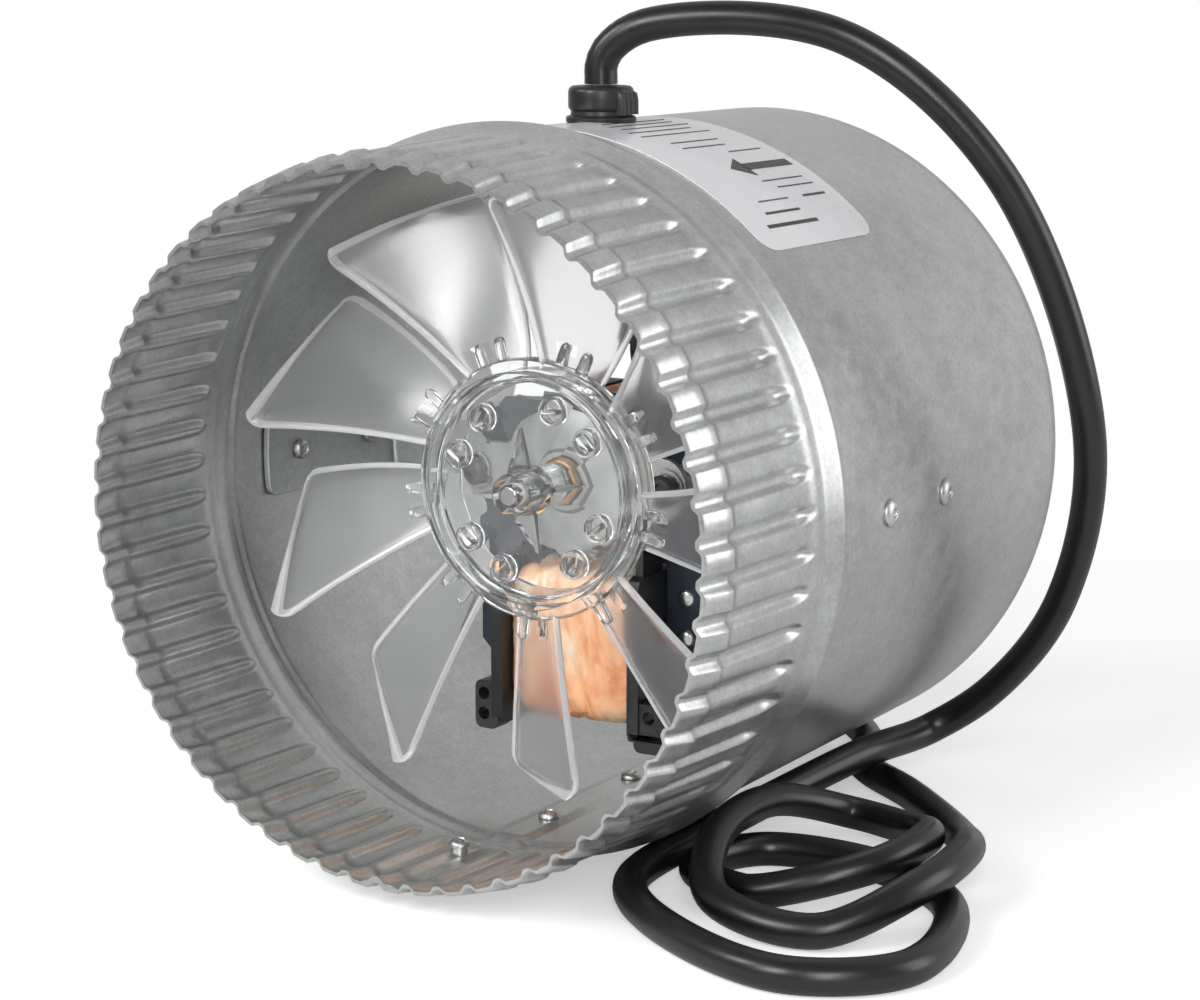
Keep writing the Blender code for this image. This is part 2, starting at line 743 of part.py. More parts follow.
def build_bobbin(surface, parent):
    """Spool on the core bar: a square tube between two flanges, with a lead lug and two feet in front."""
    end = WINDOW_HALF - GAP
    inner = end - BOBBIN_FLANGE
    hole_y = STACK_DEPTH / 2 + GAP
    hole_z = BAR_HEIGHT / 2 + GAP
    tube_y = hole_y + BOBBIN_WALL
    tube_z = hole_z + BOBBIN_WALL
    rim_y = tube_y + GAP + COIL_BUILD + BOBBIN_LIP
    rim_z = tube_z + GAP + COIL_BUILD + BOBBIN_LIP
    rings = [
        window_ring(rim_y, rim_z, BOBBIN_RIM_CORNER, -end),
        window_ring(rim_y, rim_z, BOBBIN_RIM_CORNER, -inner),
        window_ring(tube_y, tube_z, BOBBIN_TUBE_CORNER, -inner),
        window_ring(tube_y, tube_z, BOBBIN_TUBE_CORNER, inner),
        window_ring(rim_y, rim_z, BOBBIN_RIM_CORNER, inner),
        window_ring(rim_y, rim_z, BOBBIN_RIM_CORNER, end),
        window_ring(hole_y, hole_z, BOBBIN_HOLE_CORNER, end),
        window_ring(hole_y, hole_z, BOBBIN_HOLE_CORNER, -end),
    ]
    shape = bmesh.new()
    skin(shape, rings)
    bobbin = finish("bobbin", shape, surface, parent)
    middle = (STACK_FRONT + STACK_REAR) / 2
    front = at(middle) - rim_y
    bottom = (BAR_TOP + BAR_BOTTOM) / 2 - rim_z
    lug = [
        (front + LUG_DEPTH, LUG_TOP),
        (front + LUG_DEPTH, -POLE_HEIGHT - LUG_DROP),
        (at(STACK_FRONT) - 2 * GAP, -POLE_HEIGHT - LUG_DROP),
        (at(STACK_FRONT) - 2 * GAP, LUG_TOP),
    ]
    pieces = [extruded("lug", lug, inner + SINK, end - SINK, surface, axis="X")]
    for side, reach in ((-1, FOOT_LEFT), (1, FOOT_RIGHT)):
        half = (reach + BOBBIN_FLANGE / 2) / 2
        centre = (side * (end + reach - half), bottom + FOOT_HEIGHT / 2 - FOOT_DROP)
        outline = rounded(half, FOOT_HEIGHT / 2, FOOT_CORNER, 3, centre)
        pieces.append(extruded("foot", outline, front + SINK, front + SINK + FOOT_DEPTH, surface))
    combine(bobbin, pieces, "UNION")
    low, high = front - PAST, front + FOOT_DEPTH + PAST
    cutters = []
    for side, reach, drop in FOOT_HOLES:
        centre = (side * (end + reach), bottom - FOOT_DROP + FOOT_HEIGHT - drop)
        cutters.append(extruded("foot_hole", circle(FOOT_HOLE, 12, centre), low, high, surface))
    centre = (end + FOOT_SLOT_REACH, bottom - FOOT_DROP + FOOT_SLOT_RISE)
    slot = rounded(FOOT_SLOT_HALF, FOOT_SLOT / 2, FOOT_SLOT / 3, 2, centre)
    cutters.append(extruded("foot_slot", slot, low, high, surface))
    combine(bobbin, cutters)


def build_winding(surface, parent):
    """Taped coil on the bobbin, slightly fuller in the middle."""
    reach = WINDOW_HALF - GAP - BOBBIN_FLANGE - GAP
    inner_y = STACK_DEPTH / 2 + GAP + BOBBIN_WALL + GAP
    inner_z = BAR_HEIGHT / 2 + GAP + BOBBIN_WALL + GAP
    rings = []
    for x, fullness in ((-1.0, 0.0), (-0.9, 0.75), (-0.4, 1.0), (0.4, 1.0), (0.9, 0.75), (1.0, 0.0)):
        build = COIL_BUILD - (1 - fullness) * COIL_SHRINK
        rings.append(window_ring(inner_y + build, inner_z + build, COIL_CORNER, x * reach))
    rings.append(window_ring(inner_y, inner_z, COIL_BORE_CORNER, reach))
    rings.append(window_ring(inner_y, inner_z, COIL_BORE_CORNER, -reach))
    shape = bmesh.new()
    skin(shape, rings)
    finish("coil_winding", shape, surface, parent)


def build_shading_rings(surface, parent):
    """Copper loops round the shaded tips of the two poles."""
    reach = SHADING_REACH + SHADING_ROD
    low, high = at(STACK_FRONT) - reach, at(STACK_REAR) + reach
    for number, side in enumerate((1, -1), 1):
        outer = Vector((side * SHADE_OUTER[0], 0.0, side * SHADE_OUTER[1]))
        inner = Vector((side * SHADE_INNER[0], 0.0, side * SHADE_INNER[1]))
        along = (inner - outer).normalized()
        middle = (outer + inner) / 2
        width = (inner - outer).length / 2
        across = along.cross(Vector((0.0, 1.0, 0.0)))
        corner = SHADING_ROD * 1.6
        outline = rounded(width, (high - low) / 2, corner, 2, (0.0, (low + high) / 2))
        rings = []
        for i, (a, y) in enumerate(outline):
            before, after = outline[i - 1], outline[(i + 1) % len(outline)]
            run = Vector((after[0] - before[0], after[1] - before[1])).normalized()
            point = middle + along * a + Vector((0.0, y, 0.0))
            out = along * run.y - Vector((0.0, run.x, 0.0))
            turns = [2 * math.pi * k / 6 for k in range(6)]
            rings.append([point + (out * math.cos(t) + across * math.sin(t)) * SHADING_ROD for t in turns])
        shape = bmesh.new()
        skin(shape, rings)
        finish(f"shading_ring_{number}", shape, surface, parent)


def build_bearing_bracket(name, face, inward, stand, boss_out, boss_in, surface, parent):
    """Cast bridge across the stack: arm, dished middle, bearing pocket and two posts with screw holes."""

    def y(offset):
        return at(face + inward * offset)

    pocket = BEARING_RADIUS + GAP + BEARING_POCKET_WALL
    half = SCREW_OFFSET + BRACKET_EAR_RADIUS
    outline = rounded(half, BRACKET_ARM_WIDTH / 2, BRACKET_ARM_WIDTH / 2 - BRACKET_STEP, 5)
    low, high = sorted((y(0.0), y(BRACKET_PLATE)))
    bracket = extruded(name, outline, low, high, surface, parent)
    middle = turned_solid(
        "dish",
        [
            (pocket - BRACKET_STEP, y(-boss_out)),
            (pocket, y(BRACKET_STEP - boss_out)),
            (pocket + BRACKET_STEP, y(-BRACKET_STEP)),
            (BRACKET_DISC_RADIUS * 0.75, y(-BRACKET_STEP)),
            (BRACKET_DISC_RADIUS, y(BRACKET_STEP)),
            (BRACKET_DISC_RADIUS, y(BRACKET_PLATE - BRACKET_STEP)),
            (pocket + BRACKET_STEP, y(BRACKET_PLATE + BRACKET_STEP)),
            (pocket, y(boss_in)),
        ],
        surface,
        sides=20,
    )
    posts = []
    for side in (-1, 1):
        profile = [(BRACKET_EAR_RADIUS - BRACKET_STEP, y(depth)) for depth in (SINK, stand)]
        posts.append(turned_solid("post", profile, surface, sides=12, centre=(side * SCREW_OFFSET, 0.0)))
    combine(bracket, [middle] + posts, "UNION")
    low, high = sorted((y(-boss_out - PAST), y(stand + PAST)))
    cutters = [extruded("bearing_bore", circle(BEARING_RADIUS + GAP, 16), low, high, surface)]
    for side in (-1, 1):
        hole = circle(SCREW_RADIUS + GAP, 10, (side * SCREW_OFFSET, 0.0))
        cutters.append(extruded("screw_hole", hole, low, high, surface))
    combine(bracket, cutters)


def build_bearing(name, low, high, surface, parent):
    bore = SHAFT_RADIUS + GAP
    profile = [
        (bore, at(low)),
        (BEARING_RADIUS - CHAMFER, at(low)),
        (BEARING_RADIUS, at(low + CHAMFER)),
        (BEARING_RADIUS, at(high - CHAMFER)),
        (BEARING_RADIUS - CHAMFER, at(high)),
        (bore, at(high)),
    ]
    turned(name, profile, surface, parent, sides=16)


def build_fasteners(steel, black, rubber, parent):
    """Two long screws through brackets, stack, rubber grommets and strap."""
    washer_rear = FRONT_BRACKET_FACE - GAP
    washer_front = washer_rear - WASHER_THICKNESS
    head_rear = washer_front - GAP
    head_front = head_rear - SCREW_HEAD_HEIGHT
    grommet_front = REAR_BRACKET_FACE + GAP
    grommet_rear = STRAP_STATION + GAP + GROMMET_LIP
    nut_front = grommet_rear + GAP
    nut_rear = nut_front + NUT_HEIGHT
    for number, side in enumerate((-1, 1), 1):
        centre = (side * SCREW_OFFSET, 0.0)
        socket = SCREW_HEAD_RADIUS * 0.45
        profile = [
            (socket, at(head_front + SCREW_SOCKET)),
            (socket, at(head_front)),
            (SCREW_HEAD_RADIUS * 0.75, at(head_front + SCREW_SOCKET * 0.15)),
            (SCREW_HEAD_RADIUS, at(head_front + SCREW_SOCKET)),
            (SCREW_HEAD_RADIUS, at(head_rear)),
            (SCREW_RADIUS, at(head_rear)),
            (SCREW_RADIUS, at(nut_rear + SCREW_END)),
        ]
        turned_solid(f"motor_screw_{number}", profile, black, parent, sides=12, centre=centre)
        bore = SCREW_RADIUS + GAP
        ring = [(bore, at(washer_front)), (WASHER_RADIUS, at(washer_front))]
        ring += [(WASHER_RADIUS, at(washer_rear)), (bore, at(washer_rear))]
        turned(f"motor_washer_{number}", ring, steel, parent, sides=16, centre=centre)
        lip_front = STRAP_STATION - STRAP_THICKNESS - GAP
        lip_rear = STRAP_STATION + GAP
        grommet = [
            (bore, at(grommet_front)),
            (GROMMET_RADIUS, at(grommet_front)),
            (GROMMET_RADIUS, at(lip_front)),
            (GROMMET_NECK, at(lip_front)),
            (GROMMET_NECK, at(lip_rear)),
            (GROMMET_RADIUS, at(lip_rear)),
            (GROMMET_RADIUS, at(grommet_rear)),
            (bore, at(grommet_rear)),
        ]
        turned(f"grommet_{number}", grommet, rubber, parent, sides=12, centre=centre)

        def hexagon(angle):
            sixth = math.pi / 3
            return NUT_FLATS / 2 / math.cos((angle % sixth) - sixth / 2)

        drilled(f"motor_nut_{number}", hexagon, bore, at(nut_front), at(nut_rear), steel, parent, centre)


# Rotor and impeller


def build_rotor(steel, alloy, washer, parent):
    bore = SHAFT_RADIUS + GAP
    profile = [
        (SHAFT_RADIUS - CHAMFER, at(SHAFT_TIP)),
        (SHAFT_RADIUS, at(SHAFT_TIP + CHAMFER)),
        (SHAFT_RADIUS, at(SHAFT_TAIL - CHAMFER)),
        (SHAFT_RADIUS - CHAMFER, at(SHAFT_TAIL)),
    ]
    turned_solid("shaft", profile, steel, parent, sides=16)
    front, rear = at(STACK_FRONT), at(STACK_REAR)
    core = [(bore, front), (ROTOR_RADIUS, front), (ROTOR_RADIUS, rear), (bore, rear)]
    turned("rotor_core", core, steel, parent, sides=28)
    outer = ROTOR_RADIUS - CHAMFER
    inner = outer - END_RING_WIDTH
    for name, low in (("end_ring_front", front - GAP - END_RING_DEPTH), ("end_ring_rear", rear + GAP)):
        high = low + END_RING_DEPTH
        ring = [(inner, low), (outer, low), (outer, high), (inner, high)]
        turned(name, ring, alloy, parent, sides=24)
    for name, low in (("thrust_washer_front", at(BOSS_REAR + GAP)), ("thrust_washer_rear", rear + GAP)):
        high = low + THRUST_THICKNESS
        ring = [(bore, low), (THRUST_RADIUS, low), (THRUST_RADIUS, high), (bore, high)]
        turned(name, ring, washer, parent, sides=14)


def blade_point(share, turn):
    """Middle surface of a blade. share runs from root to tip, and turn from leading to trailing edge."""
    root = HUB_WALL_OUTER - SINK
    radius = root + share * (BLADE_TIP_RADIUS - root)
    spread = BLADE_ROOT_SPREAD + (BLADE_TIP_SPREAD - BLADE_ROOT_SPREAD) * share
    tip_length = BLADE_TIP_CORNER / (BLADE_TIP_RADIUS - root)
    past = max(0.0, (share - (1 - tip_length)) / tip_length)
    spread -= 2 * BLADE_TIP_CORNER * (1 - math.sqrt(max(0.0, 1 - past**2))) / radius
    depth = BLADE_ROOT_DEPTH + (BLADE_TIP_DEPTH - BLADE_ROOT_DEPTH) * share**0.8
    middle = BLADE_ROOT_STATION + (BLADE_TIP_STATION - BLADE_ROOT_STATION) * share**1.6
    angle = BLADE_SWEEP * share + spread * (turn - 0.5)
    cup = BLADE_CUP * share * (1 - (2 * turn - 1) ** 2)
    return polar(radius, angle, at(middle + depth * (0.5 - turn) + cup))


def blade_shape(shape, phase):
    shares = [0.0, 0.25, 0.5, 0.75, 0.9, 0.965, 1.0]
    turns = [0.0, 0.25, 0.5, 0.75, 1.0]
    spin = math.cos(phase), math.sin(phase)
    step = 0.01
    grids = ([], [])
    for share in shares:
        rows = ([], [])
        for turn in turns:
            point = blade_point(share, turn)
            near = min(max(share, step), 0.85)
            along = blade_point(near + step, turn) - blade_point(near - step, turn)
            across = blade_point(share, turn + step) - blade_point(share, turn - step)
            normal = along.cross(across).normalized() * BLADE_THICKNESS / 2
            for row, side in zip(rows, (1, -1)):
                p = point + normal * side
                row.append(Vector((p.x * spin[0] - p.z * spin[1], p.y, p.x * spin[1] + p.z * spin[0])))
        for grid, row in zip(grids, rows):
            grid.append(row)
    rings = [front + back[::-1] for front, back in zip(*grids)]
    rows = skin(shape, rings, closed=False)
    for row in (rows[0], rows[-1]):
        for i in range(len(turns) - 1):
            shape.faces.new((row[i], row[i + 1], row[-2 - i], row[-1 - i]))


def peg(angle, surface):
    """A small square bar that stands out from the collar, with its outer end narrowed."""
    out = Vector((math.cos(angle), 0.0, math.sin(angle)))
    side = Vector((-math.sin(angle), 0.0, math.cos(angle)))
    along = Vector((0.0, 1.0, 0.0))
    half = PEG_SIDE / 2
    rings = []
    for reach, size in ((COLLAR_RADIUS - 2 * SINK, 1.0), (PEG_REACH - half, 1.0), (PEG_REACH, 0.55)):
        centre = out * reach + along * at(PEG_STATION)
        rings.append([centre + (along * a + side * b) * half * size for a, b in CORNERS])
    return loft("peg", rings, surface)


def build_impeller(surface, parent):
    """Clear moulding: a cup with a boss and gussets, a collar with pegs, and the blades."""
    bore = SHAFT_RADIUS + GAP
    wall = HUB_WALL_OUTER - HUB_WALL
    web_rear = HUB_WEB_STATION + HUB_WEB
    profile = [
        (bore, at(BOSS_FRONT)),
        (BOSS_RADIUS, at(BOSS_FRONT)),
        (BOSS_RADIUS, at(HUB_WEB_STATION)),
        (wall, at(HUB_WEB_STATION)),
        (wall, at(HUB_LIP_STATION)),
        (HUB_WALL_OUTER, at(HUB_LIP_STATION)),
        (HUB_WALL_OUTER, at(COLLAR_STATION)),
        (COLLAR_RADIUS, at(COLLAR_STATION)),
        (COLLAR_RADIUS, at(COLLAR_STATION + COLLAR_DEPTH)),
        (HUB_WALL_OUTER, at(COLLAR_STATION + COLLAR_DEPTH)),
        (HUB_WALL_OUTER, at(HUB_REAR_STATION)),
        (wall, at(HUB_REAR_STATION)),
        (wall, at(web_rear)),
        (BOSS_RADIUS, at(web_rear)),
        (BOSS_RADIUS, at(BOSS_REAR)),
        (bore, at(BOSS_REAR)),
    ]
    impeller = turned("impeller", profile, surface, parent, sides=36)
    extras = []
    for i in range(BLADE_COUNT):
        phase = BLADE_PHASE + i * BLADE_PITCH
        shape = bmesh.new()
        blade_shape(shape, phase)
        extras.append(finish("blade", shape, surface))
        for side in (-1, 1):
            extras.append(peg(phase + side * PEG_SPREAD, surface))
    for i in range(GUSSET_COUNT):
        angle = GUSSET_PHASE + i * 2 * math.pi / GUSSET_COUNT
        extras.append(gusset(angle, surface))
        for side in (-1, 1):
            place = POCKET_PHASE + i * 2 * math.pi / GUSSET_COUNT + side * POCKET_SPREAD
            extras.append(pocket(place, surface))
    combine(impeller, extras, "UNION")


def gusset(angle, surface):
    """A triangular fin between the boss and the web."""
    out = Vector((math.cos(angle), 0.0, math.sin(angle)))
    side = Vector((-math.sin(angle), 0.0, math.cos(angle))) * GUSSET_THICKNESS / 2
    start = SHAFT_RADIUS + GAP + SINK
    corners = [
        (start, HUB_WEB_STATION + SINK),
        (GUSSET_REACH, HUB_WEB_STATION + SINK),
        (GUSSET_REACH, HUB_WEB_STATION - SINK),
        (BOSS_RADIUS + SINK, BOSS_FRONT + SINK),
        (start, BOSS_FRONT + SINK),
    ]
    face = [out * radius + Vector((0.0, at(station), 0.0)) for radius, station in corners]
    return loft("gusset", [[point - side for point in face], [point + side for point in face]], surface)


def pocket(angle, surface):
    """A short open tube that stands on the web."""
    centre = (POCKET_CIRCLE * math.cos(angle), POCKET_CIRCLE * math.sin(angle))
    front = at(HUB_WEB_STATION - POCKET_HEIGHT)
    rear = at(HUB_WEB_STATION + SINK)
    inner = POCKET_RADIUS - POCKET_WALL
    profile = [(inner, front), (POCKET_RADIUS, front), (POCKET_RADIUS, rear), (inner, rear)]
    return turned("pocket", profile, surface, sides=8, centre=centre)


# Strain relief, label and cord


def build_strain_relief(surface, parent):
    """Two-part bushing in the duct wall: a round body, and a ribbed wedge that grips the cord."""
    top = GLAND_TOP
    seat = BODY_RADIUS + GAP
    under = math.sqrt(INNER_RADIUS**2 - GLAND_LATCH_RADIUS**2) - 1.5 * GAP
    profile = [
        (GLAND_NECK_RADIUS - GLAND_CHAMFER, under - GLAND_LATCH_HEIGHT),
        (GLAND_LATCH_RADIUS, under - GLAND_CHAMFER),
        (GLAND_LATCH_RADIUS, under),
        (GLAND_NECK_RADIUS, under),
        (GLAND_NECK_RADIUS, seat),
        (GLAND_FLANGE_RADIUS, seat),
        (GLAND_FLANGE_RADIUS, seat + GLAND_FLANGE),
        (GLAND_CAP_RADIUS, seat + GLAND_FLANGE + GLAND_CHAMFER),
        (GLAND_CAP_RADIUS - GLAND_CROWN * 0.2, top - GLAND_CROWN),
        (GLAND_CAP_RADIUS - GLAND_CROWN, top),
    ]
    body = radial_turned("strain_relief_body", math.pi / 2, GLAND_STATION, profile, surface, parent, sides=16)
    bore = CORD_RADIUS + GAP
    foot = under - 3 * GLAND_LATCH_HEIGHT

    def cord_hole():
        return radial_pin("cord_hole", math.pi / 2, GLAND_STATION, bore, 12, foot, top + PAST)

    slot_low = seat + GLAND_FLANGE - GLAND_CHAMFER * 0.7
    notch = extruded("wedge_slot", wedge_outline(0.0, bore * 0.5), slot_low, top + PAST, surface, axis="Z")
    combine(body, [cord_hole()])
    combine(body, [notch])
    outline = wedge_outline(GAP, bore)
    low, high = slot_low + GAP, top - WEDGE_DROP
    wedge = extruded("strain_relief_wedge", outline, low, high, surface, parent, axis="Z")
    cutters = [cord_hole()]
    for i in (-1, 0, 1):
        centre = (GLAND_CAP_RADIUS + WEDGE_GROOVE[0], at(GLAND_STATION) + i * WEDGE_WIDTH / 3.4)
        groove = rounded(*WEDGE_GROOVE, WEDGE_GROOVE[1] / 2, 1, centre)
        cutters.append(extruded("groove", groove, slot_low - PAST, top + PAST, surface, axis="Z"))
    combine(wedge, cutters)


def wedge_outline(clearance, start):
    """(x, y) outline of the wedge, or of its slot with no clearance."""
    outer = GLAND_CAP_RADIUS + (WEDGE_REACH if clearance else 3 * WEDGE_REACH)
    half = WEDGE_WIDTH / 2 - clearance
    y = at(GLAND_STATION)
    return [(start * 0.8, y - half), (outer, y - half), (outer, y + half), (start * 0.8, y + half)]


def build_label(surface, parent):
    """Blank curved label on the duct, with rounded corners and a notch for the strain relief."""
    height = LABEL_HEIGHT
    inner = BODY_RADIUS + GAP
    outer = inner + LABEL_THICKNESS
    corner = LABEL_CORNER
    shape = bmesh.new()
    stations = [0.0, 0.15, 0.5, 1.0]
    cuts = [corner * share for share in stations]
    spans = cuts + [LABEL_WIDTH - cut for cut in reversed(cuts)]
    rows = []
    for run in spans:
        edge = min(run, LABEL_WIDTH - run)
        inset = corner - math.sqrt(max(0.0, corner**2 - (corner - edge) ** 2)) if edge < corner else 0.0
        low = LABEL_LOW + inset / BODY_RADIUS
        high = LABEL_LOW + (height - inset) / BODY_RADIUS
        ring = []
        steps = 8
        for i in range(steps + 1):
            ring.append(polar(outer, low + (high - low) * i / steps, at(LABEL_FIRST + run)))
        for i in range(steps, -1, -1):
            ring.append(polar(inner, low + (high - low) * i / steps, at(LABEL_FIRST + run)))
        rows.append(ring)
    made = skin(shape, rows, closed=False)
    shape.faces.new(made[0])
    shape.faces.new(made[-1])
    label = finish("label", shape, surface, parent)
    notch = radial_pin("notch", math.pi / 2, GLAND_STATION, GLAND_FLANGE_RADIUS + GAP, 24)
    combine(label, [notch])


def smooth_route(points, step=0.002):
    """Centripetal Catmull-Rom curve through the points, sampled closely."""
    ends = [points[0] * 2 - points[1]] + points + [points[-1] * 2 - points[-2]]
    samples = []
    for a, b, c, d in zip(ends, ends[1:], ends[2:], ends[3:]):
        before, here, after = (math.sqrt((q - p).length) for p, q in ((a, b), (b, c), (c, d)))
        leave = (b - a) * (here / before) - (c - a) * (here / (before + here)) + (c - b)
        arrive = (c - b) - (d - b) * (here / (here + after)) + (d - c) * (here / after)
        count = max(2, int((c - b).length / step))
        for i in range(count):
            t = i / count
            samples.append(
                b * (2 * t**3 - 3 * t**2 + 1)
                + leave * (t**3 - 2 * t**2 + t)
                + c * (3 * t**2 - 2 * t**3)
                + arrive * (t**3 - t**2)
            )
    samples.append(points[-1].copy())
    return samples


def thinned(samples, most_turn=math.radians(26.0), most_run=0.036):
    """Keeps both samples at each end, and one wherever the curve has turned or run far enough."""
    kept = samples[:2]
    run = 0.0
    turn = 0.0
    for before, here, after in zip(samples[1:-2], samples[2:-1], samples[3:]):
        run += (here - before).length
        turn += (after - here).angle(here - before, 0.0)
        if run >= most_run or turn >= most_turn:
            kept.append(here)
            run = 0.0
            turn = 0.0
    return kept + samples[-2:]


def add_tube(name, points, radius, resolution, surface, parent=None):
    curve = bpy.data.curves.new(name, "CURVE")
    curve.dimensions = "3D"
    curve.bevel_depth = radius
    curve.bevel_resolution = resolution
    curve.use_fill_caps = True
    spline = curve.splines.new("POLY")
    spline.points.add(len(points) - 1)
    for place, point in zip(spline.points, points):
        place.co = (*point, 1.0)
    curve.materials.append(surface)
    tube = bpy.data.objects.new(name, curve)
    bpy.context.scene.collection.objects.link(tube)
    tube.parent = parent
    return tube


def placed(points, datum):
    """(x, station, height) points in millimetres, with their heights measured from datum."""
    return [Vector((x * MM, at(y * MM), datum + z * MM)) for x, y, z in points]


def straight_run(start, *steps):
    """Points straight above or below the start on the strain relief's axis."""
    return [Vector((0.0, at(GLAND_STATION), start + step)) for step in (0.0, *steps)]


def build_cord(surface, parent):
    """The tube along the free stretch, and the short end from the coil to the plug."""
    lying = -AXIS_HEIGHT + CORD_RADIUS
    start = straight_run(GLAND_TOP + GAP, CORD_RADIUS / 2, CORD_RADIUS)
    free = smooth_route(start + placed(CORD_ARC, 0.0) + placed(CORD_LOOPS, lying))
    for point in free:
        point.z = max(point.z, lying)
    add_tube("cord", thinned(free), CORD_RADIUS, 2, surface, parent)
    end = placed(CORD_END, lying)
    add_tube("cord_end", thinned(smooth_route(end)), CORD_RADIUS, 2, surface, parent)
    return end[-1], (end[-1] - end[-2]).normalized()


def coil_outline(clearance, steps=3):
    """Outline round the three turns of the coil, two below and one above, as (distance out, height)."""
    radius = CORD_RADIUS + clearance
    rise = CORD_RADIUS * math.sqrt(3.0)
    turns = (
        (CORD_RADIUS, 0.0, -90.0, 30.0),
        (0.0, rise, 30.0, 150.0),
        (-CORD_RADIUS, 0.0, 150.0, 270.0),
    )
    points = []
    for out, up, start, stop in turns:
        for i in range(steps + 1):
            angle = math.radians(start + (stop - start) * i / steps)
            points.append((out + radius * math.cos(angle), up + radius * math.sin(angle)))
    return points


def build_coil(surface, band, parent):
    """Three turns of cord as one ring behind the duct, and the tie that holds them."""
    lift = -AXIS_HEIGHT + TIE_THICKNESS + GAP + CORD_RADIUS
    centre = Vector((COIL_CENTRE[0], at(COIL_CENTRE[1]), lift))
    shape = bmesh.new()
    sides = 36
    rings = []
    for i in range(sides):
        turn = 2 * math.pi * i / sides
        out = Vector((math.cos(turn), math.sin(turn), 0.0))
        middle = centre + out * COIL_MIDDLE
        rings.append([middle + out * a + Vector((0.0, 0.0, b)) for a, b in coil_outline(0.0)])
    skin(shape, rings)
    finish("cord_coil", shape, surface, parent)

    out = Vector((math.cos(TIE_PLACE), math.sin(TIE_PLACE), 0.0))
    along = Vector((-out.y, out.x, 0.0)) * TIE_WIDTH / 2
    middle = centre + out * COIL_MIDDLE
    rings = []
    for side, clearance in ((-1, GAP), (-1, GAP + TIE_THICKNESS), (1, GAP + TIE_THICKNESS), (1, GAP)):
        outline = coil_outline(clearance)
        rings.append([middle + out * a + Vector((0.0, 0.0, b)) + along * side for a, b in outline])
    shape = bmesh.new()
    skin(shape, rings)
    finish("cord_tie", shape, band, parent)


def build_tail(surface, lead, parent):
    """Jacketed end of the cord through the bushing, and two leads down to the bobbin."""
    inside = INNER_RADIUS - GLAND_LATCH_HEIGHT - GLAND_TOP
    points = straight_run(GLAND_TOP, inside / 2, inside, inside - CORD_RADIUS) + placed(TAIL_ROUTE, 0.0)
    samples = thinned(smooth_route(points), most_run=2 * CORD_RADIUS)
    add_tube("cord_tail", samples, CORD_RADIUS, 2, surface, parent)
    end = points[-1]
    for number, side in enumerate((-1, 1), 1):
        start = end + Vector((side * LEAD_PAIR, 0.0, -GAP))
        lug = Vector((LUG_X, at(STACK_FRONT) - LUG_BACK + side * LEAD_PAIR, LUG_TOP + GAP))
        route = [start - Vector((0.0, 0.0, LEAD_RADIUS * drop)) for drop in (0.0, 1.3, 2.6)]
        route += [point + Vector((side, side, 0.0)) * LEAD_SPREAD for point in placed(LEAD_ROUTE, 0.0)]
        route.append(lug)
        add_tube(f"lead_{number}", thinned(smooth_route(route)), LEAD_RADIUS, 2, lead, parent)


def build_plug(end, heading, black, brass, parent):
    """Grounded three-pin plug on the far end of the cord."""
    heading = Vector((heading.x, heading.y, 0.0)).normalized()
    across = Vector((-heading.y, heading.x, 0.0))
    up = Vector((0.0, 0.0, 1.0))
    base = Vector((end.x, end.y, GAP - AXIS_HEIGHT)) + heading * GAP
    rings = []
    for run, half_a, half_b, corner in PLUG_SECTIONS:
        centre = base + heading * run * MM + up * half_b * MM
        outline = rounded(half_a * MM, half_b * MM, corner * MM, 4)
        rings.append([centre + across * a + up * b for a, b in outline])
    loft("plug_body", rings, black, parent)
    front = base + heading * (PLUG_LENGTH + GAP) + up * PLUG_HALF_HEIGHT
    for number, side in enumerate((-1, 1), 1):
        centre = front + across * side * PIN_SPACING / 2 + up * PIN_RISE
        rings = []
        for run, size in ((0.0, 1.0), (PIN_LENGTH - PIN_THICKNESS, 1.0), (PIN_LENGTH, 0.6)):
            half_a, half_b = PIN_THICKNESS / 2, PIN_WIDTH / 2 * size
            rings.append([centre + heading * run + across * a * half_a + up * b * half_b for a, b in CORNERS])
        loft(f"plug_pin_{number}", rings, brass, parent)
    centre = front - up * EARTH_DROP
    turns = [2 * math.pi * i / 12 for i in range(12)]
    rings = []
    sections = ((0.0, EARTH_RADIUS), (EARTH_LENGTH - EARTH_RADIUS, EARTH_RADIUS), (EARTH_LENGTH, SINK))
    for run, radius in sections:
        tip = centre + heading * run
        rings.append([tip + (across * math.cos(turn) + up * math.sin(turn)) * radius for turn in turns])
    loft("plug_pin_3", rings, brass, parent)


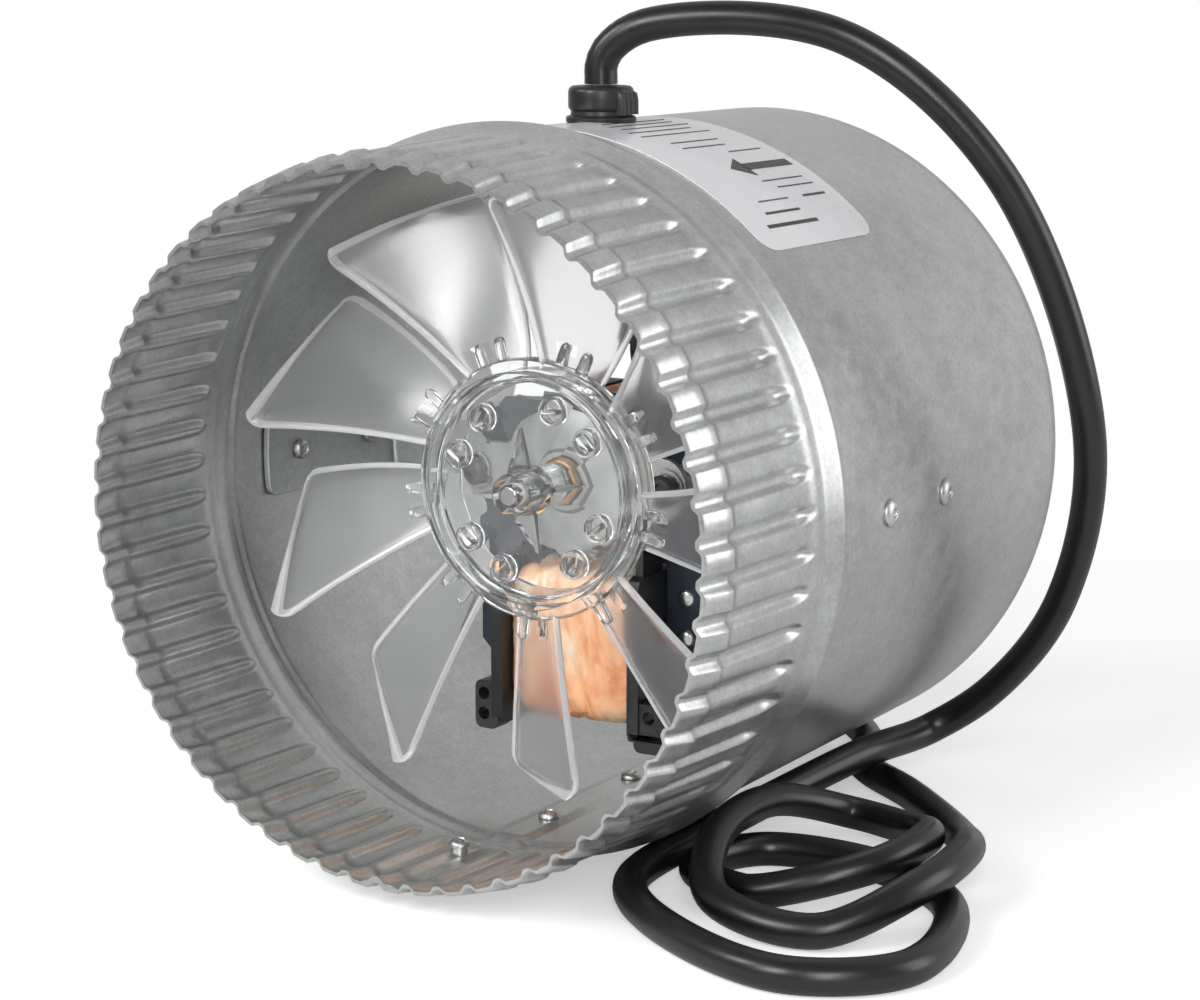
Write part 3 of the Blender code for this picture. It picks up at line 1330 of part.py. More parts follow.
def main():
    clear_scene()
    bpy.context.scene.unit_settings.system = "METRIC"
    axis = bpy.data.objects.new("duct_axis", None)
    axis.location = (0.0, 0.0, AXIS_HEIGHT)
    spin = bpy.data.objects.new("rotor_axis", None)
    spin.parent = axis
    for empty in (axis, spin):
        bpy.context.scene.collection.objects.link(empty)
    galvanised = material("galvanised_sheet", (0.62, 0.65, 0.66), 0.38, 0.9)
    zinc = material("zinc_plated_strap", (0.58, 0.61, 0.62), 0.4, 0.9)
    rivet = material("rivet_alloy", (0.8, 0.8, 0.8), 0.3, 1.0)
    lamination = material("blued_lamination", (0.05, 0.06, 0.08), 0.45, 0.8)
    cast = material("cast_bracket", (0.5, 0.5, 0.5), 0.5, 0.9)
    bronze = material("sintered_bronze", (0.6, 0.36, 0.16), 0.4, 0.9)
    copper = material("copper", (0.5, 0.2, 0.1), 0.35, 1.0)
    tape = material("coil_tape", (0.85, 0.5, 0.3), 0.45)
    bobbin = material("black_nylon", (0.02, 0.02, 0.02), 0.4)
    screw = material("black_screw", (0.03, 0.03, 0.03), 0.35, 0.6)
    steel = material("bright_steel", (0.7, 0.7, 0.72), 0.25, 1.0)
    rubber = material("black_rubber", (0.02, 0.02, 0.02), 0.6)
    clear = material("clear_polycarbonate", (0.9, 0.92, 0.93), 0.08, 0.0, 0.35)
    jacket = material("black_cord_jacket", (0.015, 0.015, 0.016), 0.4)
    paper = material("white_label", (0.85, 0.85, 0.85), 0.35)
    brass = material("plug_brass", (0.7, 0.55, 0.28), 0.3, 1.0)

    build_housing(galvanised, axis)
    build_strap(zinc, axis)
    build_rivets(rivet, axis)
    build_strain_relief(bobbin, axis)
    build_label(paper, axis)
    build_stator(lamination, axis)
    build_bobbin(bobbin, axis)
    build_winding(tape, axis)
    build_shading_rings(copper, axis)
    front_stand = STACK_FRONT - GAP - FRONT_BRACKET_FACE
    build_bearing_bracket(
        "bearing_bracket_front",
        FRONT_BRACKET_FACE,
        1,
        front_stand,
        BRACKET_FRONT_BOSS,
        BRACKET_INNER_BOSS,
        cast,
        axis,
    )
    rear_stand = REAR_BRACKET_FACE - STACK_REAR - GAP
    rear_out = STRAP_STATION - STRAP_THICKNESS - 2 * GAP - REAR_BRACKET_FACE
    rear_in = REAR_BRACKET_FACE - STACK_REAR - THRUST_THICKNESS - 2 * GAP
    build_bearing_bracket(
        "bearing_bracket_rear", REAR_BRACKET_FACE, -1, rear_stand, rear_out, rear_in, cast, axis
    )
    nose = BOSS_REAR + THRUST_THICKNESS + 2 * GAP
    build_bearing("bearing_front", nose, nose + BEARING_LENGTH, bronze, axis)
    seat = STACK_REAR + THRUST_THICKNESS + 2 * GAP
    build_bearing("bearing_rear", seat, STRAP_STATION - STRAP_THICKNESS - GAP, bronze, axis)
    build_fasteners(steel, screw, rubber, axis)
    build_rotor(steel, rivet, bobbin, spin)
    build_impeller(clear, spin)
    build_tail(jacket, jacket, axis)
    end, heading = build_cord(jacket, axis)
    build_coil(jacket, rubber, axis)
    build_plug(end, heading, jacket, brass, axis)


main()
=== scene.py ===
import json
from math import atan2, cos, exp, hypot, pi, radians, sin, sqrt

import bmesh
import bpy
from mathutils import Matrix, Vector, noise


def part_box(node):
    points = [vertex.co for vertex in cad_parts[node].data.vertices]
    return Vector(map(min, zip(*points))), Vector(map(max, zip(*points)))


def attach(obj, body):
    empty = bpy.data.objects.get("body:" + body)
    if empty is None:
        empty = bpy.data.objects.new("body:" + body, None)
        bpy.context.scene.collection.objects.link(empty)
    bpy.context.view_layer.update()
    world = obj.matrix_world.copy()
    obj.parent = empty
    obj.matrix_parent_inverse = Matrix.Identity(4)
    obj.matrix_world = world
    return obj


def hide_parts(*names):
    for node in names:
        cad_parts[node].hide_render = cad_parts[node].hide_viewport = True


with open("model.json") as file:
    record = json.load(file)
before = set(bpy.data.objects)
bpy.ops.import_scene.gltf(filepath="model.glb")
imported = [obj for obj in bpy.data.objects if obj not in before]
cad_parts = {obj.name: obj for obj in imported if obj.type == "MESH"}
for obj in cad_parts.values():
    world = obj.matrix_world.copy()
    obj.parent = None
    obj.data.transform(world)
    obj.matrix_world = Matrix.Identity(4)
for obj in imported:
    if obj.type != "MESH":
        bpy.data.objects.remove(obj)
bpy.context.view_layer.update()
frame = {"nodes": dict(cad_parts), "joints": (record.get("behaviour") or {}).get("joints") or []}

MM = 0.001
AXIS_HEIGHT = frame["joints"][0]["pos_m"][2]
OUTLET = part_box("housing")[0].y
ALONG = Vector((0.0, 1.0, 0.0))


def at(station):
    """Y of a station, which is measured in millimetres from the outlet rim along the duct."""
    return OUTLET + station * MM


def on_axis(x, station, height):
    """A point from its X, its station and its height above the duct axis, all in millimetres."""
    return Vector((x * MM, at(station), AXIS_HEIGHT + height * MM))


def around(radius, angle, station):
    """A point from its distance from the duct axis in millimetres, its angle and its station."""
    return on_axis(radius * cos(angle), station, radius * sin(angle))


def eased(value, start, stop):
    """0 before start, 1 after stop, and a smooth rise between them."""
    share = min(max((value - start) / (stop - start), 0.0), 1.0)
    return share * share * (3 - 2 * share)


def even(low, high, count):
    """Numbers from low to high with equal steps."""
    return [low + (high - low) * i / (count - 1) for i in range(count)]


def circle(sides):
    """Angles of the points round a circle."""
    return [2 * pi * i / sides for i in range(sides)]


def outward(angle):
    """Directions out from the duct axis at an angle round it, and across that."""
    out = Vector((cos(angle), 0.0, sin(angle)))
    return out, Vector((-out.z, 0.0, out.x))


def placed(name, data):
    """A new object in the scene."""
    made = bpy.data.objects.new(name, data)
    bpy.context.scene.collection.objects.link(made)
    return made


# Camera: 31 degrees to the right of the outlet and 11 degrees above it


CAMERA_AZIMUTH = radians(31.167)
CAMERA_ELEVATION = radians(10.758)
CAMERA_PLACE = (0.31304, -0.51400, 0.18614)
CAMERA_LENS = 83.52


def build_camera():
    flat = cos(CAMERA_ELEVATION)
    back = Vector((sin(CAMERA_AZIMUTH) * flat, -cos(CAMERA_AZIMUTH) * flat, sin(CAMERA_ELEVATION)))
    right = Vector((0.0, 0.0, 1.0)).cross(back).normalized()
    up = back.cross(right)
    data = bpy.data.cameras.new("camera")
    data.lens = CAMERA_LENS
    data.sensor_width = 36.0
    camera = placed("camera", data)
    turn = Matrix((right, up, back)).transposed().to_4x4()
    camera.matrix_world = Matrix.Translation(CAMERA_PLACE) @ turn
    bpy.context.scene.camera = camera


# Materials


class Nodes:
    """Short ways to add nodes to a tree."""

    def __init__(self, tree):
        self.tree = tree

    def add(self, kind, inputs=None, **settings):
        node = self.tree.nodes.new(kind)
        for key, value in settings.items():
            setattr(node, key, value)
        for key, value in (inputs or {}).items():
            if isinstance(value, bpy.types.NodeSocket):
                self.tree.links.new(value, node.inputs[key])
            else:
                node.inputs[key].default_value = value
        return node

    def math(self, operation, a, b):
        return self.add("ShaderNodeMath", {0: a, 1: b}, operation=operation).outputs[0]

    def level(self, factor, low, high, start=0.0, stop=1.0, curve="LINEAR"):
        """A number from low to high while the factor runs from start to stop."""
        span = {"Value": factor, "From Min": start, "From Max": stop, "To Min": low, "To Max": high}
        node = self.add("ShaderNodeMapRange", span, interpolation_type=curve)
        return node.outputs["Result"]


class Shader(Nodes):
    """A Principled material, with texture nodes in object coordinates."""

    def __init__(self, name, colour, roughness, metallic=0.0, **more):
        self.material = bpy.data.materials.new(name)
        self.material.use_nodes = True
        super().__init__(self.material.node_tree)
        self.body = self.tree.nodes["Principled BSDF"]
        self.set("Base Color", (*colour, 1.0))
        self.set("Roughness", roughness)
        self.set("Metallic", metallic)
        for socket, value in more.items():
            self.set(socket.replace("_", " ").title().replace("Ior", "IOR"), value)
        self.place = self.add("ShaderNodeTexCoord").outputs["Object"]

    def set(self, socket, value):
        self.body.inputs[socket].default_value = value

    def link(self, output, socket):
        self.tree.links.new(output, self.body.inputs[socket])

    def colour(self, output):
        self.link(output, "Base Color")

    def rough(self, factor, low, high, start=0.3, stop=0.7):
        self.link(self.level(factor, low, high, start, stop), "Roughness")

    def scaled(self, x, y, z):
        """Object coordinates stretched along each axis."""
        inputs = {"Vector": self.place, "Scale": (x, y, z)}
        return self.add("ShaderNodeMapping", inputs).outputs["Vector"]

    def noise(self, scale, detail, roughness=0.5, place=None, distortion=0.0):
        inputs = {"Vector": place or self.place, "Scale": scale, "Detail": detail}
        inputs |= {"Roughness": roughness, "Distortion": distortion}
        return self.add("ShaderNodeTexNoise", inputs).outputs["Fac"]

    def ramp(self, factor, *stops):
        """Colours or grey levels at places along a factor from 0 to 1."""
        node = self.add("ShaderNodeValToRGB", {"Fac": factor})
        points = node.color_ramp.elements
        while len(points) < len(stops):
            points.new(0.5)
        for point, (where, value) in zip(points, stops):
            point.position = where
            point.color = (*value, 1.0) if isinstance(value, tuple) else (value, value, value, 1.0)
        return node.outputs["Color"]

    def mix(self, factor, a, b, blend="MIX"):
        inputs = {0: factor}
        for slot, value in ((6, a), (7, b)):
            inputs[slot] = (*value, 1.0) if isinstance(value, tuple) else value
        return self.add("ShaderNodeMix", inputs, data_type="RGBA", blend_type=blend).outputs[2]

    def bump(self, height, strength, distance):
        """Bump of a height over a distance in millimetres."""
        inputs = {"Height": height, "Strength": strength, "Distance": distance * MM}
        self.link(self.add("ShaderNodeBump", inputs).outputs["Normal"], "Normal")


def galvanised(name, colour, roughness):
    """Zinc-coated sheet: fine speckle, soft clouds of tone and a slightly uneven surface."""
    s = Shader(name, colour, roughness, metallic=0.85)
    cloud = s.noise(34.0, 4.0, 0.55)
    bloom = s.noise(300.0, 3.0, 0.6, place=s.scaled(1.0, 0.7, 1.0))
    speck = s.noise(1100.0, 2.0, 0.6)
    shade = s.level(cloud, -0.10, 0.10, 0.3, 0.7)
    shade = s.math("ADD", shade, s.level(bloom, -0.08, 0.08, 0.3, 0.7))
    shade = s.math("ADD", shade, s.level(speck, -0.13, 0.13, 0.25, 0.75))
    tint = s.ramp(s.level(shade, 0.0, 1.0, -0.4, 0.4), (0.0, 0.62), (1.0, 1.38))
    s.colour(s.mix(1.0, colour, tint, "MULTIPLY"))
    s.rough(bloom, roughness - 0.03, roughness + 0.04)
    s.bump(s.noise(24.0, 2.0), 0.28, 0.6)
    return s.material


def moulded(name, colour, roughness, scale=1400.0, strength=0.15):
    """Satin plastic or rubber with a faint skin texture and handling marks."""
    s = Shader(name, colour, roughness)
    skin = s.noise(scale, 3.0, 0.6)
    marks = s.noise(55.0, 4.0, 0.6, distortion=0.6)
    s.rough(marks, roughness - 0.08, roughness + 0.12, stop=0.75)
    light = tuple(min(1.0, c * 1.8 + 0.004) for c in colour)
    s.colour(s.mix(s.level(marks, 0.0, 1.0, 0.45, 0.8), colour, light))
    s.bump(skin, strength, 0.06)
    return s.material


def metal(name, colour, roughness, grain=(1.0, 1.0, 1.0), scale=500.0, spread=0.12, strength=0.12):
    """Bare metal with grain along one axis and slight stains."""
    s = Shader(name, colour, roughness, metallic=1.0)
    lines = s.noise(scale, 4.0, 0.6, place=s.scaled(*grain))
    stain = s.noise(60.0, 4.0, 0.6)
    dark = tuple(c * 0.62 for c in colour)
    s.colour(s.mix(s.level(stain, 0.0, 1.0, 0.4, 0.75), colour, dark))
    s.rough(lines, roughness - spread, roughness + spread)
    s.bump(lines, strength, 0.05)
    return s.material


def laminations(name, colour):
    """Blued sheets: edges show as fine lines across the axis, and faces are mottled."""
    s = Shader(name, colour, 0.42, metallic=0.75)
    sheets = s.noise(1.0, 1.0, 0.5, place=s.scaled(3.0, 1900.0, 3.0))
    cloud = s.noise(70.0, 5.0, 0.65)
    pale = tuple(c * 2.2 + 0.02 for c in colour)
    shade = s.level(cloud, 0.0, 1.0, 0.35, 0.75)
    shade = s.math("MULTIPLY", shade, s.level(sheets, 0.4, 1.0, 0.3, 0.7))
    s.colour(s.mix(shade, colour, pale))
    s.rough(cloud, 0.3, 0.55)
    s.bump(sheets, 0.5, 0.12)
    return s.material


def tape():
    """Glossy tape: orange over the copper, peach where it is wrinkled off the wire."""
    s = Shader("coil_tape", (0.9, 0.55, 0.35), 0.3, coat_weight=0.7, coat_roughness=0.12)
    folds = s.noise(1.0, 5.0, 0.6, place=s.scaled(95.0, 70.0, 32.0), distortion=1.2)
    cloud = s.noise(46.0, 3.0, 0.5)
    tone = s.math("ADD", s.math("MULTIPLY", folds, 0.65), s.math("MULTIPLY", cloud, 0.35))
    colour = s.ramp(
        tone,
        (0.38, (0.68, 0.22, 0.08)),
        (0.45, (0.84, 0.40, 0.19)),
        (0.53, (0.89, 0.56, 0.34)),
        (0.62, (0.93, 0.80, 0.60)),
    )
    s.colour(colour)
    s.rough(cloud, 0.22, 0.42)
    s.bump(folds, 0.5, 0.5)
    return s.material


def see_through(name, colour, roughness, weight, shadow):
    """Clear or frosted plastic with faint flow marks, and a lighter shadow than a solid gives."""
    s = Shader(name, colour, roughness, transmission_weight=weight, ior=1.5)
    flow = s.noise(24.0, 2.0, 0.5, distortion=0.4)
    s.rough(flow, roughness * 0.85, roughness * 1.15 + 0.005)
    s.bump(flow, 0.06, 0.3)
    path = s.add("ShaderNodeLightPath").outputs["Is Shadow Ray"]
    s.link(s.level(path, 1.0, shadow), "Alpha")
    return s.material


def jacket():
    """Black cord jacket: satin, with a very fine drawn texture."""
    s = Shader("cord_jacket", (0.006, 0.006, 0.007), 0.32, specular_ior_level=0.6)
    skin = s.noise(1500.0, 2.0, 0.6)
    marks = s.noise(70.0, 5.0, 0.65, distortion=0.4)
    s.rough(marks, 0.27, 0.38, stop=0.75)
    s.colour(s.ramp(marks, (0.3, (0.004, 0.004, 0.005)), (0.8, (0.010, 0.010, 0.011))))
    s.bump(skin, 0.1, 0.04)
    return s.material


def paper():
    """Glossy white film with faint ripples."""
    s = Shader("label_paper", (0.79, 0.79, 0.81), 0.3, coat_weight=0.3, coat_roughness=0.12)
    ripple = s.noise(90.0, 3.0, 0.5)
    s.colour(s.ramp(ripple, (0.3, (0.76, 0.76, 0.79)), (0.7, (0.81, 0.81, 0.83))))
    s.rough(ripple, 0.24, 0.38)
    s.bump(ripple, 0.15, 0.2)
    return s.material


def ink():
    """Printed black with slight mottle."""
    s = Shader("label_ink", (0.02, 0.02, 0.02), 0.4)
    mottle = s.noise(1200.0, 2.0, 0.5)
    s.colour(s.ramp(mottle, (0.3, (0.012, 0.012, 0.012)), (0.75, (0.045, 0.045, 0.045))))
    s.link(s.level(mottle, 0.3, 0.5), "Roughness")
    return s.material


def build_materials():
    """Materials by the slot that they fill."""
    return {
        "galvanised_sheet": galvanised("galvanised_sheet", (0.515, 0.527, 0.518), 0.31),
        "strap_steel": galvanised("strap_steel", (0.50, 0.515, 0.51), 0.4),
        "rivet": metal("rivet_alloy", (0.66, 0.66, 0.65), 0.4, spread=0.06),
        "label_paper": paper(),
        "label_ink": ink(),
        "black_nylon": moulded("black_nylon", (0.012, 0.012, 0.013), 0.32),
        "lamination_steel": laminations("lamination_steel", (0.028, 0.034, 0.045)),
        "coil_tape": tape(),
        "copper": metal("bare_copper", (0.62, 0.25, 0.12), 0.38, spread=0.1),
        "cast_bracket": metal("cast_zinc", (0.42, 0.43, 0.42), 0.5, scale=160.0, strength=0.5),
        "bronze": metal("oiled_bronze", (0.62, 0.34, 0.15), 0.36, scale=1600.0, strength=0.3),
        "rotor_steel": metal(
            "rotor_laminations", (0.3, 0.3, 0.31), 0.3, grain=(1.0, 20.0, 1.0), scale=90.0
        ),
        "rotor_alloy": metal("rotor_alloy", (0.62, 0.62, 0.62), 0.4, scale=240.0, strength=0.3),
        "bright_steel": metal(
            "bright_steel", (0.62, 0.62, 0.62), 0.2, grain=(1.0, 0.05, 1.0), spread=0.06
        ),
        "washer_steel": metal("plated_washer", (0.38, 0.38, 0.39), 0.32),
        "black_screw": moulded("black_oxide", (0.02, 0.02, 0.022), 0.3, 900.0, 0.25),
        "black_rubber": moulded("black_rubber", (0.018, 0.018, 0.018), 0.55),
        "clear_plastic": see_through("clear_plastic", (0.97, 0.98, 0.98), 0.03, 0.96, 0.18),
        "frosted_plastic": see_through("frosted_plastic", (0.89, 0.89, 0.90), 0.17, 0.93, 0.3),
        # Paler and less clear than the blades: a painted highlight for the bright edges that clear
        # plastic shows
        "painted_edge_highlight": see_through("painted_edge_highlight", (0.98, 0.98, 0.99), 0.12, 0.63, 0.4),
        "cord_jacket": jacket(),
        "lead_jacket": moulded("lead_jacket", (0.016, 0.016, 0.017), 0.38),
        "plug_brass": metal("plug_brass", (0.74, 0.56, 0.27), 0.25, grain=(6.0, 1.0, 1.0)),
    }


# Meshes


def add_mesh(name, shape, surface, sharp=40.0):
    """A bmesh as an object with faces out and smooth shading that breaks at sharp edges."""
    bmesh.ops.recalc_face_normals(shape, faces=shape.faces)
    mesh = bpy.data.meshes.new(name)
    shape.to_mesh(mesh)
    shape.free()
    mesh.materials.append(surface)
    mesh.shade_smooth()
    mesh.set_sharp_from_angle(angle=radians(sharp))
    return placed(name, mesh)


def skin(shape, rings, closed=True):
    """Quads between neighbouring rings of points. Closed also joins the last ring to the first."""
    rows = [[shape.verts.new(point) for point in ring] for ring in rings]
    pairs = list(zip(rows, rows[1:]))
    if closed:
        pairs.append((rows[-1], rows[0]))
    for first, second in pairs:
        for i in range(len(first)):
            j = (i + 1) % len(first)
            shape.faces.new((first[i], first[j], second[j], second[i]))
    return rows


def loft(shape, rings):
    """A solid skin over rings of points, closed by its first and last ring."""
    rows = skin(shape, rings, closed=False)
    shape.faces.new(rows[0])
    shape.faces.new(rows[-1])


def lathe(shape, profile, sides, x=0.0, height=0.0, solid=False):
    """A profile of (radius, station) in millimetres, turned about a line along the duct."""
    rings = []
    for radius, station in profile:
        points = [(x + radius * cos(t), height + radius * sin(t)) for t in circle(sides)]
        rings.append([on_axis(a, station, b) for a, b in points])
    if solid:
        loft(shape, rings)
    else:
        skin(shape, rings)


def standing(shape, profile, angle, station, sides):
    """A solid profile of (radius, distance out), turned about a line out from the duct axis."""
    out, across = outward(angle)
    centre = on_axis(0.0, station, 0.0)
    rings = []
    for radius, height in profile:
        middle = centre + out * height * MM
        turns = [ALONG * cos(t) + across * sin(t) for t in circle(sides)]
        rings.append([middle + turn * radius * MM for turn in turns])
    loft(shape, rings)


def level_ring(outline, height):
    """Points at one height above the duct axis, from (x, station)."""
    return [on_axis(x, station, height) for x, station in outline]


def rounded(half_a, half_b, corner, steps=5, centre=(0.0, 0.0)):
    """Outline of a rectangle with round corners."""
    points = []
    for quarter, (sa, sb) in enumerate(((1, 1), (-1, 1), (-1, -1), (1, -1))):
        for i in range(steps + 1):
            angle = (quarter + i / steps) * pi / 2
            a = centre[0] + sa * (half_a - corner) + corner * cos(angle)
            b = centre[1] + sb * (half_b - corner) + corner * sin(angle)
            points.append((a, b))
    return points


def settle(piece, slot, *nodes, body="duct"):
    """Rides a piece on its body and hides the nodes that it stands for. Its slot is not used."""
    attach(piece, body)
    if nodes:
        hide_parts(*nodes)
    return piece


def add_piece(name, shape, slot, *nodes, sharp=40.0):
    """A mesh piece on the duct, in its slot's material."""
    return settle(add_mesh(name, shape, materials[slot], sharp), slot, *nodes)


def round_edges(piece, width, sharp, segments=3, harden=True):
    """Rounds the edges that turn by more than sharp, in degrees, over a width in millimetres."""
    step = piece.modifiers.new("Round", "BEVEL")
    step.width = width * MM
    step.segments = segments
    step.limit_method = "ANGLE"
    step.angle_limit = radians(sharp)
    step.harden_normals = harden


# Distance within which two points are one, and turn within which two faces are
SAME_POINT = 0.002
SAME_FACE = radians(1.0)


def finished(node, name, slot, width, body="duct", sharp=32.0):
    """A finer copy of a CAD node: its facets joined, its edges rounded and its shading smooth."""
    shape = bmesh.new()
    shape.from_mesh(frame["nodes"][node].data)
    shape.transform(frame["nodes"][node].matrix_world)
    bmesh.ops.remove_doubles(shape, verts=shape.verts, dist=SAME_POINT * MM)
    bmesh.ops.dissolve_limit(shape, angle_limit=SAME_FACE, verts=shape.verts, edges=shape.edges)
    piece = add_mesh(name, shape, materials[slot], sharp)
    round_edges(piece, width, sharp)
    return settle(piece, slot, node, body=body)


# Duct section: 60 crimps that taper to the outlet rim, a rolled bead, and a lapped seam below


CRIMPS = 60
# Places across one crimp, as shares of its pitch: its cuts, then its trough
CRIMP_SHARES = (0.0, 0.22, 0.43, 0.47, 0.53, 0.59, 0.64, 0.71, 0.78, 0.83, 0.89, 0.95)
TROUGH = 0.71
TROUGH_HALF = 0.08
SLOPE = 0.19
# Stations between which a trough runs out, and how much sooner it does so at its sides
TROUGH_END = (35.0, 39.4)
TROUGH_POINT = 60.0
SHEET = 0.7
BODY_RADIUS = 76.2
GROOVE_RADIUS = 76.9
SEAM_LOW = radians(-94.0)
SEAM_HIGH = radians(-88.0)

# (station, crest radius, crimp depth) in millimetres from the outlet rim
SHELL = (
    (0.0, 72.85, 1.2), (0.25, 73.05, 1.25), (2.0, 73.4, 1.3), (6.0, 74.25, 1.45), (8.0, 74.68, 1.5),
    (8.5, 74.6, 1.4), (9.1, 74.2, 1.3), (11.0, 74.25, 1.3), (18.0, 74.6, 1.35), (26.0, 74.95, 1.4),
    (33.0, 75.25, 1.45), (34.4, 75.3, 1.45), (35.4, 75.34, 1.45), (36.2, 75.38, 1.45),
    (37.0, 75.42, 1.45), (37.8, 75.5, 1.45), (38.6, 75.64, 1.45), (39.6, 75.86, 1.45),
    (40.6, 75.95, 0.0), (42.2, 76.0, 0.0), (43.0, 76.15, 0.0), (43.6, 76.4, 0.0),
    (46.4, 77.75, 0.0), (46.9, 77.93, 0.0), (47.4, 78.0, 0.0), (47.9, 77.97, 0.0),
    (48.4, 77.75, 0.0), (49.2, 76.6, 0.0), (49.6, 76.25, 0.0),
    *((station, BODY_RADIUS, 0.0) for station in (50.0, 51.0, 60.0, 85.0, 110.0, 135.0, 156.0)),
    (159.75, BODY_RADIUS, 0.0), (160.0, 76.0, 0.0),
)


def crimp_fall(share, station):
    """Depth into a trough, from 0 on the crest to 1. Troughs end in a rounded point."""
    off = abs(share - TROUGH)
    slope = min(max((off - TROUGH_HALF) / SLOPE, 0.0), 1.0)
    fall = 1 - (slope + eased(off, TROUGH_HALF, TROUGH_HALF + SLOPE)) / 2
    return fall * (1 - eased(station + TROUGH_POINT * off * off, *TROUGH_END))


def in_seam(angle):
    turn = (angle - SEAM_LOW) % (2 * pi)
    return turn < SEAM_HIGH - SEAM_LOW


def build_housing():
    pitch = 2 * pi / CRIMPS
    columns = [((i + share) * pitch, share) for i in range(CRIMPS) for share in CRIMP_SHARES]
    outside, inside = [], []
    for station, crest, depth in SHELL:
        outer, inner = [], []
        for angle, share in columns:
            radius = crest - depth * crimp_fall(share, station)
            wall = SHEET * (2 if in_seam(angle) else 1)
            outer.append(around(radius, angle, station))
            inner.append(around(min(radius, GROOVE_RADIUS) - wall, angle, station))
        outside.append(outer)
        inside.append(inner)
    shape = bmesh.new()
    skin(shape, outside + inside[::-1])
    add_piece("duct_shell", shape, "galvanised_sheet", "housing", sharp=50.0)


# Rivets


SEAM_MIDDLE = radians(-91.0)
# (angle, station, seat of the head, inner face of the sheet) of each rivet
FLANGE_RIVETS = [(angle, station, 76.4, 73.4) for angle in (0.0, pi) for station in (71.5, 98.5)]
LAP_RIVETS = [(SEAM_MIDDLE, 29.0, 75.5, 71.6)]
LAP_RIVETS += [(SEAM_MIDDLE, station, 76.3, 74.7) for station in (64.0, 99.5, 135.0)]


def build_rivet(name, node, angle, station, seat, tail):
    """Blind rivet: a dimpled dome outside, and a set tail with its broken stem inside."""
    profile = [
        (0.15, tail - 1.3), (0.7, tail - 1.3), (0.75, tail - 1.0), (1.1, tail - 1.0),
        (1.3, tail - 1.35), (1.8, tail - 1.2), (2.3, tail - 0.6), (2.3, tail - 0.1), (1.7, tail),
        (1.7, seat - 0.2), (2.9, seat - 0.2), (3.0, seat), (2.85, seat + 0.35), (2.4, seat + 0.75),
        (1.7, seat + 1.05), (1.2, seat + 1.12), (1.0, seat + 1.0), (0.85, seat + 0.6),
        (0.15, seat + 0.5),
    ]
    shape = bmesh.new()
    standing(shape, profile, angle, station, 28)
    add_piece(name, shape, "rivet", node, sharp=50.0)


def build_rivets():
    for kind, node, rivets in (("flange", "bracket", FLANGE_RIVETS), ("lap", "seam", LAP_RIVETS)):
        for number, place in enumerate(rivets, 1):
            build_rivet(f"{kind}_rivet_{number}", f"{node}_rivet_{number}", *place)


# Strap


STRAP_FRONT = 60.0
STRAP_REAR = 110.0
STRAP_HALF = 9.5
STRAP_REACH = 75.2
STRAP_THICKNESS = 1.5
STRAP_BEND = 3.0
STRAP_CORNER = 2.5
# Station of a cut in each flange, and distance out of one in the run across
FLANGE_CUT = 80.0
CROSS_CUT = 40.0
BEND_STEPS = 6


def build_strap():
    """One strip across the duct, bent forward at both ends into flanges along the duct wall."""
    shape = bmesh.new()
    ends = [STRAP_HALF - cut for cut in (0.0, 0.3, 0.9, 1.8, STRAP_CORNER)]
    heights = [-h for h in ends] + even(-5.0, 5.0, 5) + ends[::-1]
    rings = []
    for height in heights:
        off = max(0.0, abs(height) - (STRAP_HALF - STRAP_CORNER))
        front = STRAP_FRONT + STRAP_CORNER - sqrt(STRAP_CORNER**2 - off**2)
        reach = sqrt(STRAP_REACH**2 - height**2)
        ring = []
        for side, inset in ((-1, 0.0), (1, 0.0), (1, STRAP_THICKNESS), (-1, STRAP_THICKNESS)):
            corner = STRAP_BEND - inset
            path = [(reach - inset, front), (reach - inset, FLANGE_CUT)]
            for i in range(BEND_STEPS + 1):
                turn = i / BEND_STEPS * pi / 2
                out = reach - inset - corner * (1 - cos(turn))
                path.append((out, STRAP_REAR - inset - corner + corner * sin(turn)))
            path.append((CROSS_CUT, STRAP_REAR - inset))
            if (side > 0) == (inset == 0.0):
                path.reverse()
            ring += level_ring([(side * x, station) for x, station in path], height)
        rings.append(ring)
    loft(shape, rings)
    strap = add_piece("motor_strap", shape, "strap_steel", "motor_bracket")
    round_edges(strap, 0.25, 50.0, segments=2, harden=False)


# Motor


WINDOW_CENTRE = -38.3
BAR_STATION = 90.0
COIL_HALF = 15.9
# Halves of the coil's section at its ends, and what its full middle adds
COIL_ENDS = (16.0, 12.6)
COIL_SWELL = (3.9, 3.7)
COIL_CORNER = 5.5
COIL_STEPS = 6
FOLD_HEIGHT = 0.5
CREASE_DEPTH = 0.9
CREASE_WIDTH = 0.12


